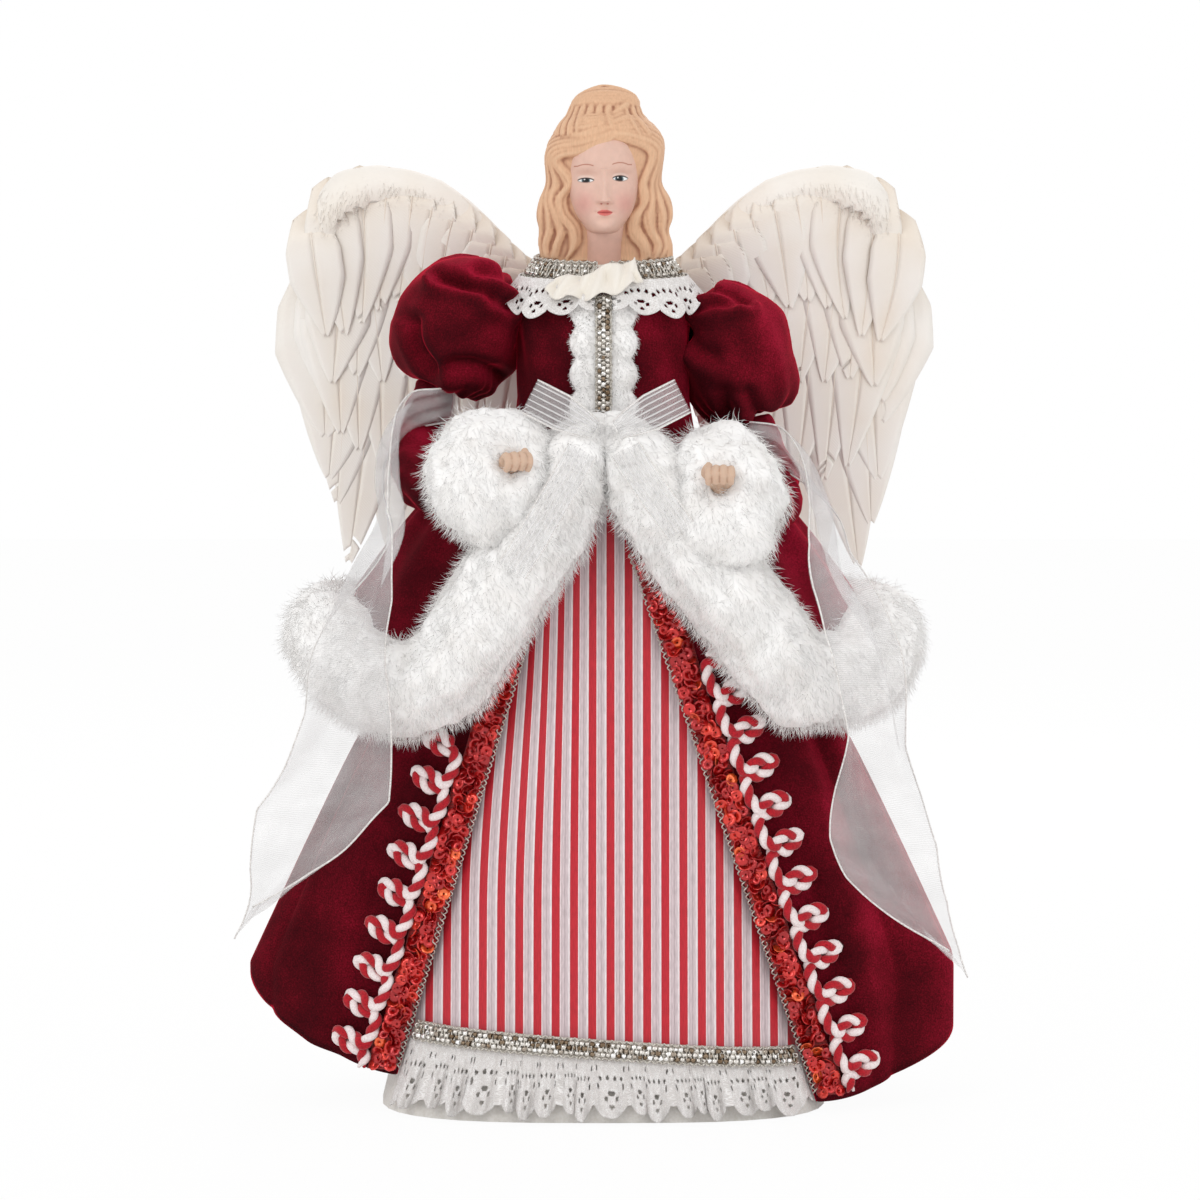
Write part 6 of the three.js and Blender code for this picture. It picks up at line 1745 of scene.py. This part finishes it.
ridge_line = flat_line(WING_RIDGE, 200)
for hand, side in SIDES.items():
    body = "wing_" + hand
    dress(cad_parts["wing_wire_" + hand], steel)
    rows = {name: ([], [], []) for name in ("primaries", "secondaries", "coverts")}
    for name, count, start, inwards, rises, tips in FEATHER_ROWS:
        tip_line = flat_line(tips, 200)
        for feather in range(count):
            share = (feather + 0.5) / count
            along = mix(start, 0.79 + 0.55 * start, share)
            root = on_line(ridge_line, along)
            ahead = on_line(ridge_line, along + 0.01) - root
            ahead /= np.linalg.norm(ahead)
            corner = COVERT_FULLNESS * at_corner(*root) if inwards < 0 else 0
            root = root + np.array([ahead[1], -ahead[0]]) * (inwards - corner)
            before, tip, after = (on_line(tip_line, share + half / count) for half in (-0.5, 0, 0.5))
            spread = np.linalg.norm(after - before)
            made = new_feather(side, root, tip, 1.9 * spread + 7, rises,
                               100 * count + feather + (0 if side < 0 else 50) + int(10 * rises[1] + 30))
            for all_made, new in zip(rows[name], made):
                all_made += new
    for name, (bodies, tints, barbs) in rows.items():
        row = new_bodies("wing_" + name + "_feathers_" + hand, bodies, feather_white)
        mark(row, "tint", np.concatenate(tints))
        mark(row, "barb", np.concatenate(barbs))
        fit_to(row, ["wing_" + name + "_" + hand], body)

    down = skin_of("wing_down_" + hand, 1.6, 16, 0.6)
    down.name = "wing_down_fluff_" + hand
    move(down, lambda p, n: p + n * DOWN_FULLNESS * at_corner(np.abs(p[:, 0]), p[:, 2])[:, None])
    mark(down, "tint", np.full(len(down.data.vertices), 0.8))
    grow_pile(down, 0.35, 4, 0.12, 0.12, (0.15 * side, 0, -1.2), 0.4, 23, feather_white)
    fit_to(down, ["wing_down_" + hand], body)

# Cast head
# A head and neck of cast resin with a painted doll's face. The neck is glued into the foam body.
FACE_ROWS = np.array([
    # height, half width, front and back, from the chin's underside to the crown
    (346.6, 0.6, -9.0, -7.5), (346.7, 4.2, -13.4, -3), (347.6, 6.4, -16.0, 0), (350.5, 8.6, -17.2, 4),
    (355, 11.8, -17.3, 8), (361, 14.0, -17.4, 12), (368, 15.2, -17.5, 14), (376, 15.4, -18.2, 16),
    (384, 14.6, -17.2, 16), (392, 11, -12, 14), (397, 5.5, -5, 8), (398.5, 0.4, 0, 3)])
MOUTH = (0.5, 354.8)
EYES = [
    # middle, half width and half height, then the place of the iris
    (-7.0, 367.4, 3.3, 0.95, -7.0, 367.3), (6.6, 368.1, 3.1, 1.2, 6.2, 368.0)]
FACE_FORMS = [
    # how far each form stands forward, its place across and up, and its half sizes
    (0.9, 0.4, 372, 9, 6), (0.95, 0.5, 355.7, 2.6, 0.75), (1.15, 0.5, 353.8, 2.2, 0.8),
    (-0.5, 0.5, 354.8, 3.0, 0.3), (-0.5, 0.5, 351.7, 3.2, 1.0), (1.0, 0.8, 349.3, 3.4, 1.9)]
PAIRED_FORMS = [
    # the same for nostrils, eye sockets, eyeballs, cheeks and corners of the mouth, with the middle between
    # each pair and the distance from it
    (1.3, 0.4, 2.0, 359.4, 1.0, 1.0), (-1.7, 0.2, 6.4, 368.3, 4.2, 3.0), (1.1, 0, 6.9, 367.8, 2.9, 1.9),
    (0.8, 0, 8.4, 359.5, 3.6, 4.5), (-0.35, 0.4, 3.6, 354.9, 0.8, 0.8)]


def bump_at(x, z, x0, z0, sx, sz):
    return np.exp(-((x - x0) / sx) ** 2 - ((z - z0) / sz) ** 2)


def face_relief(x, z):
    """How far the features stand forward, in millimetres."""
    bridge = np.clip((371 - z) / 11.5, 0, 1)
    nose = (0.5 + 3.6 * bridge ** 1.3) * np.exp(-((x - 0.4) / (1.4 + 0.9 * bridge)) ** 2)
    rise = nose * ramp(z, 357.6, 359.2) * (z < 372)
    for height, across, up, wide, tall in FACE_FORMS:
        rise += height * bump_at(x, z, across, up, wide, tall)
    for height, middle, apart, up, wide, tall in PAIRED_FORMS:
        for side in (-1, 1):
            rise += height * bump_at(x, z, middle + side * apart, up, wide, tall)
    return rise


def brushed(colours, shade, amount):
    return mix(colours, linear(shade), np.clip(amount, 0, 1)[:, None])


def face_paint(p):
    """The painted skin, brows, eyes, nostrils and lips, with a painted highlight over each upper lid."""
    x, _, z = p.T
    front = p[:, 1] < -9
    colours = np.tile(linear("#e0bbab"), (len(p), 1))
    colours = brushed(colours, "#d6ac9c", ramp(z, 352, 340))
    for side in (-1, 1):
        colours = brushed(colours, "#d89d92", 0.75 * bump_at(x, z, 0.4 + side * 8.2, 358.5, 4.2, 4.6) * front)
        colours = brushed(colours, "#c99b8a", 0.5 * bump_at(x, z, side * 7, 370.6, 3.8, 1.4) * front)
    for cx, cz, half, tall, iris_x, iris_z in EYES:
        dx = (x - cx) / half
        arch = np.clip(1 - dx ** 2, 0, 1)
        upper = cz + tall * 0.95 * arch ** 0.7
        lower = cz - tall * 0.85 * arch ** 0.8
        within = (np.abs(dx) < 1) & front
        opened = within & (z < upper) & (z > lower)
        iris = np.hypot(x - iris_x, z - iris_z)
        glint = np.hypot(x - iris_x + 0.55, z - iris_z - 0.55)
        brow = cz + 5.6 + 0.7 * arch
        beside_brow = (np.abs(x - cx * 1.12) < 3.9) & front
        for shade, amount in [
                # painted highlight over the upper lid, white, iris, pupil, glint, lashes, lower lid and brow,
                # in the painter's order
                ("#ecd9cf", 0.4 * within * ramp(z, upper, upper + 0.3) * ramp(z, upper + 1.5, upper + 0.9)),
                ("#edf0ef", opened * 1.0),
                ("#5c7077", opened * ramp(iris, 1.75, 1.6)),
                ("#16191c", opened * ramp(iris, 1.35, 1.2)),
                ("#f4f7f7", opened * ramp(glint, 0.34, 0.2)),
                ("#2c201e", within * ramp(np.abs(z - upper), 0.34, 0.16)),
                ("#a08074", within * 0.7 * ramp(np.abs(z - lower), 0.26, 0.1)),
                ("#b0705c", beside_brow * 0.85 * ramp(np.abs(z - brow), 0.32, 0.12))]:
            colours = brushed(colours, shade, amount)
    lip = np.clip(1 - ((x - MOUTH[0]) / 3.05) ** 2, 0, 1)
    cupid = 0.25 * np.abs(np.cos((x - MOUTH[0]) * 1.4))
    upper, lower = MOUTH[1] + 1.15 * lip ** 0.6 - cupid * 0.5, MOUTH[1] - 1.35 * lip ** 0.7
    lips = (z < upper) & (z > lower) & (lip > 0) & front
    colours = brushed(colours, "#d9746f", lips * 0.95)
    colours = brushed(colours, "#b1524f", lips * ramp(np.abs(z - MOUTH[1]), 0.3, 0.1))
    for side in (-1, 1):
        nostril = bump_at(x, z, 0.4 + side * 1.25, 358.2, 0.55, 0.32) > 0.45
        colours = brushed(colours, "#b0645a", 0.9 * nostril * front)
    return colours


# The head's rows of points stand closer at the chin and over the crown
rows = 250
heights = np.interp(np.linspace(0, 1, rows), [0, 0.06, 0.8, 0.93, 1], [346.6, 347.4, 376, 392, 398.5])
knots = through(FACE_ROWS[:, :3], 400)
knots = knots[np.argsort(knots[:, 0])]
half, front = (np.interp(heights, knots[:, 0], knots[:, k]) for k in (1, 2))
back = np.interp(heights, FACE_ROWS[:, 0], FACE_ROWS[:, 3])
turns = np.linspace(-math.pi, math.pi, 241)[:-1]
# They also stand closer over the face, so that its features come out sharp
turns = turns - 0.72 * np.sin(turns)
a, row = np.meshgrid(turns, np.arange(rows))
x, y = oval(half[row], 1, a, 2.15)
y = np.where(y < 0, -y * front[row], y * back[row])
z = heights[row] + 0 * x
y = y - face_relief(x, z) * ramp(-y, 4, 11)
points, faces = ringed(stack(x, y, z), (0, -8.2, 346.5), (0, 1.5, 398.7))
neck_path = through([(0, 0, 322.5), (0.2, -0.6, 336), (0.5, -2.5, 348), (0.6, -3.5, 358)], 30)
neck = swept(neck_path, np.interp(np.linspace(0, 1, 31), [0, 0.3, 0.6, 1], [8.6, 7.6, 7.1, 8.5]), 32)
head = new_bodies("cast_head", [(points, faces), neck], resin_skin)
paint_on(head, face_paint(places_of(head)[0]))
fit_to(head, ["head_casting"])

# Moulded hair
# The hair is part of the casting. Its locks are combed from a side parting into waves and up to a bun.
HAIR_ROWS = np.array([
    # height, then the left, right, front and back of the hair there
    (335.8, -24, 26.5, -5, 20), (338, -25.2, 28, -5, 20.8), (343, -25, 26.4, -5, 21),
    (348.3, -24.8, 25, -5.6, 21.2), (351.9, -25.4, 26.2, -6.6, 21.4), (355, -25.8, 27, -7.4, 21.5),
    (359, -25, 26.1, -8.2, 21.6), (363.1, -23, 24.3, -9.5, 22), (367, -21.6, 21.8, -11.4, 22.3),
    (372.3, -23.2, 23, -13.6, 22.8), (376, -22.9, 24, -15, 23.2), (380, -21.9, 24.1, -16.4, 23.4),
    (385.3, -19.8, 22.4, -17.6, 23.4), (388.5, -18.2, 19.4, -16.8, 23.2), (391.2, -16.2, 17.2, -15, 22.6),
    (394.4, -12.9, 14, -11.6, 20.8), (397, -13.2, 14.3, -10.2, 19.6), (399.5, -12, 13.9, -8.8, 18.6),
    (402, -9.3, 12.2, -6.8, 16.8), (404.3, -5.9, 9.2, -3.6, 13.6), (405.5, -1, 5, 0.5, 10.5)])


def on_hair(angle, z, out):
    left, right, front, back = (np.interp(z, HAIR_ROWS[:, 0], HAIR_ROWS[:, k]) for k in (1, 2, 3, 4))
    s, c = np.sin(angle), np.cos(angle)
    x = np.where(s < 0, -left, right) * s + out * s
    y = np.where(c > 0, front - out, back + out) * np.abs(c) ** 0.9
    return stack(x, y, z)


locks = []
strand_dice = np.random.default_rng(31)


def lay_lock(marks, radius, strands, lift):
    """A lock of strands laid side by side on the hair, through marks of angle in degrees and height."""
    marks = np.array(marks, float)
    for k in range(strands):
        shift = k - (strands - 1) / 2
        ends = np.linspace(1, 0.7, len(marks))
        angle = np.radians(marks[:, 0] + shift * radius * 3.1 * ends)
        height = marks[:, 1] + shift * 0.9 * (1 - ramp(np.abs(marks[:, 0]), 40, 60))
        path = through(on_hair(angle, height, lift - 0.35 * shift ** 2 + strand_dice.normal(0, 0.15)), 40)
        t = np.linspace(0, 1, 41)
        girth = radius * (0.55 + 0.45 * np.sin(math.pi * np.clip(t * 1.05, 0, 1)) ** 0.5)
        locks.append(swept(path, girth, 7))


grid_a, grid_z = np.meshgrid(np.linspace(-math.pi, math.pi, 97)[:-1], HAIR_ROWS[:, 0])
shell = on_hair(grid_a, grid_z, -0.9)
locks.append(ringed(shell, shell[0].mean(axis=0), shell[-1].mean(axis=0)))

for side, parting, heights_at in [(-1, 12, (383.8, 376.6, 373.4)), (1, 12, (384.8, 381.4, 376.4))]:
    for i in range(11):
        low_angle = 33 + 14.5 * i
        wave = 8 / (1 + 0.06 * i)
        marks = [(parting + side * 1.0, heights_at[0] + 0.6 + 0.85 * i),
                 (parting * 0.4 + side * (22 + 1.2 * i), heights_at[1] + 3.2 + 1.25 * i),
                 (side * (56 + 6.5 * i), heights_at[2] + 2.2 + 1.5 * i)]
        for step, z in enumerate((366.5, 360, 354, 348, 342, 336.6)):
            swing = wave * math.sin(1.35 * step + 0.9 * i + (1.4 if side > 0 else 0))
            marks.append((side * (low_angle + 1.2 * (5 - step) * (i < 4) + swing), z))
        lay_lock(marks, 1.15, 4, 0.35)
for angle in np.arange(-172, 180, 15):
    marks = [(angle * 0.94 + 6, 385.5), (angle * 0.97 + 3, 389.5), (angle, 393), (angle, 397.4)]
    lay_lock(marks, 1.35, 2, -0.2)
for turn in range(7):
    # The bun is wound over from the left, each strand a little higher than the one before
    crest = 397.2 + 1.25 * turn
    for facing in (0, 180):
        lay_lock([(facing + a, 395.6 + (crest - 395.6) * math.cos(math.radians(a * 0.85)) ** 0.6)
                  for a in range(-100, 101, 20)], 1.2, 1, -0.55)
# The paint is combed along the strands in streaks under a millimetre wide
resin_hair = new_painted(
    "cast resin, blonde hair paint", {"Roughness": 0.6, "Specular IOR Level": 0.25},
    (1500.0, 1500.0, 260.0), 2.0, (0.93, 1.06), 0.25, 0.2)
hair = melted("moulded_hair", locks, 0.5, 2, resin_hair)
# The hair is painted darker in its grooves, a painted shade, and lighter on its ridges, a painted highlight
deep = hollows_of(hair)
colours = mix(linear("#dcb08e"), linear("#a8775e"), np.clip(deep * 0.9 + 0.1, 0, 1)[:, None])
colours = mix(colours, linear("#e8c2a0"), np.clip(-deep * 0.6, 0, 1)[:, None])
paint_on(hair, colours)
fit_to(hair)
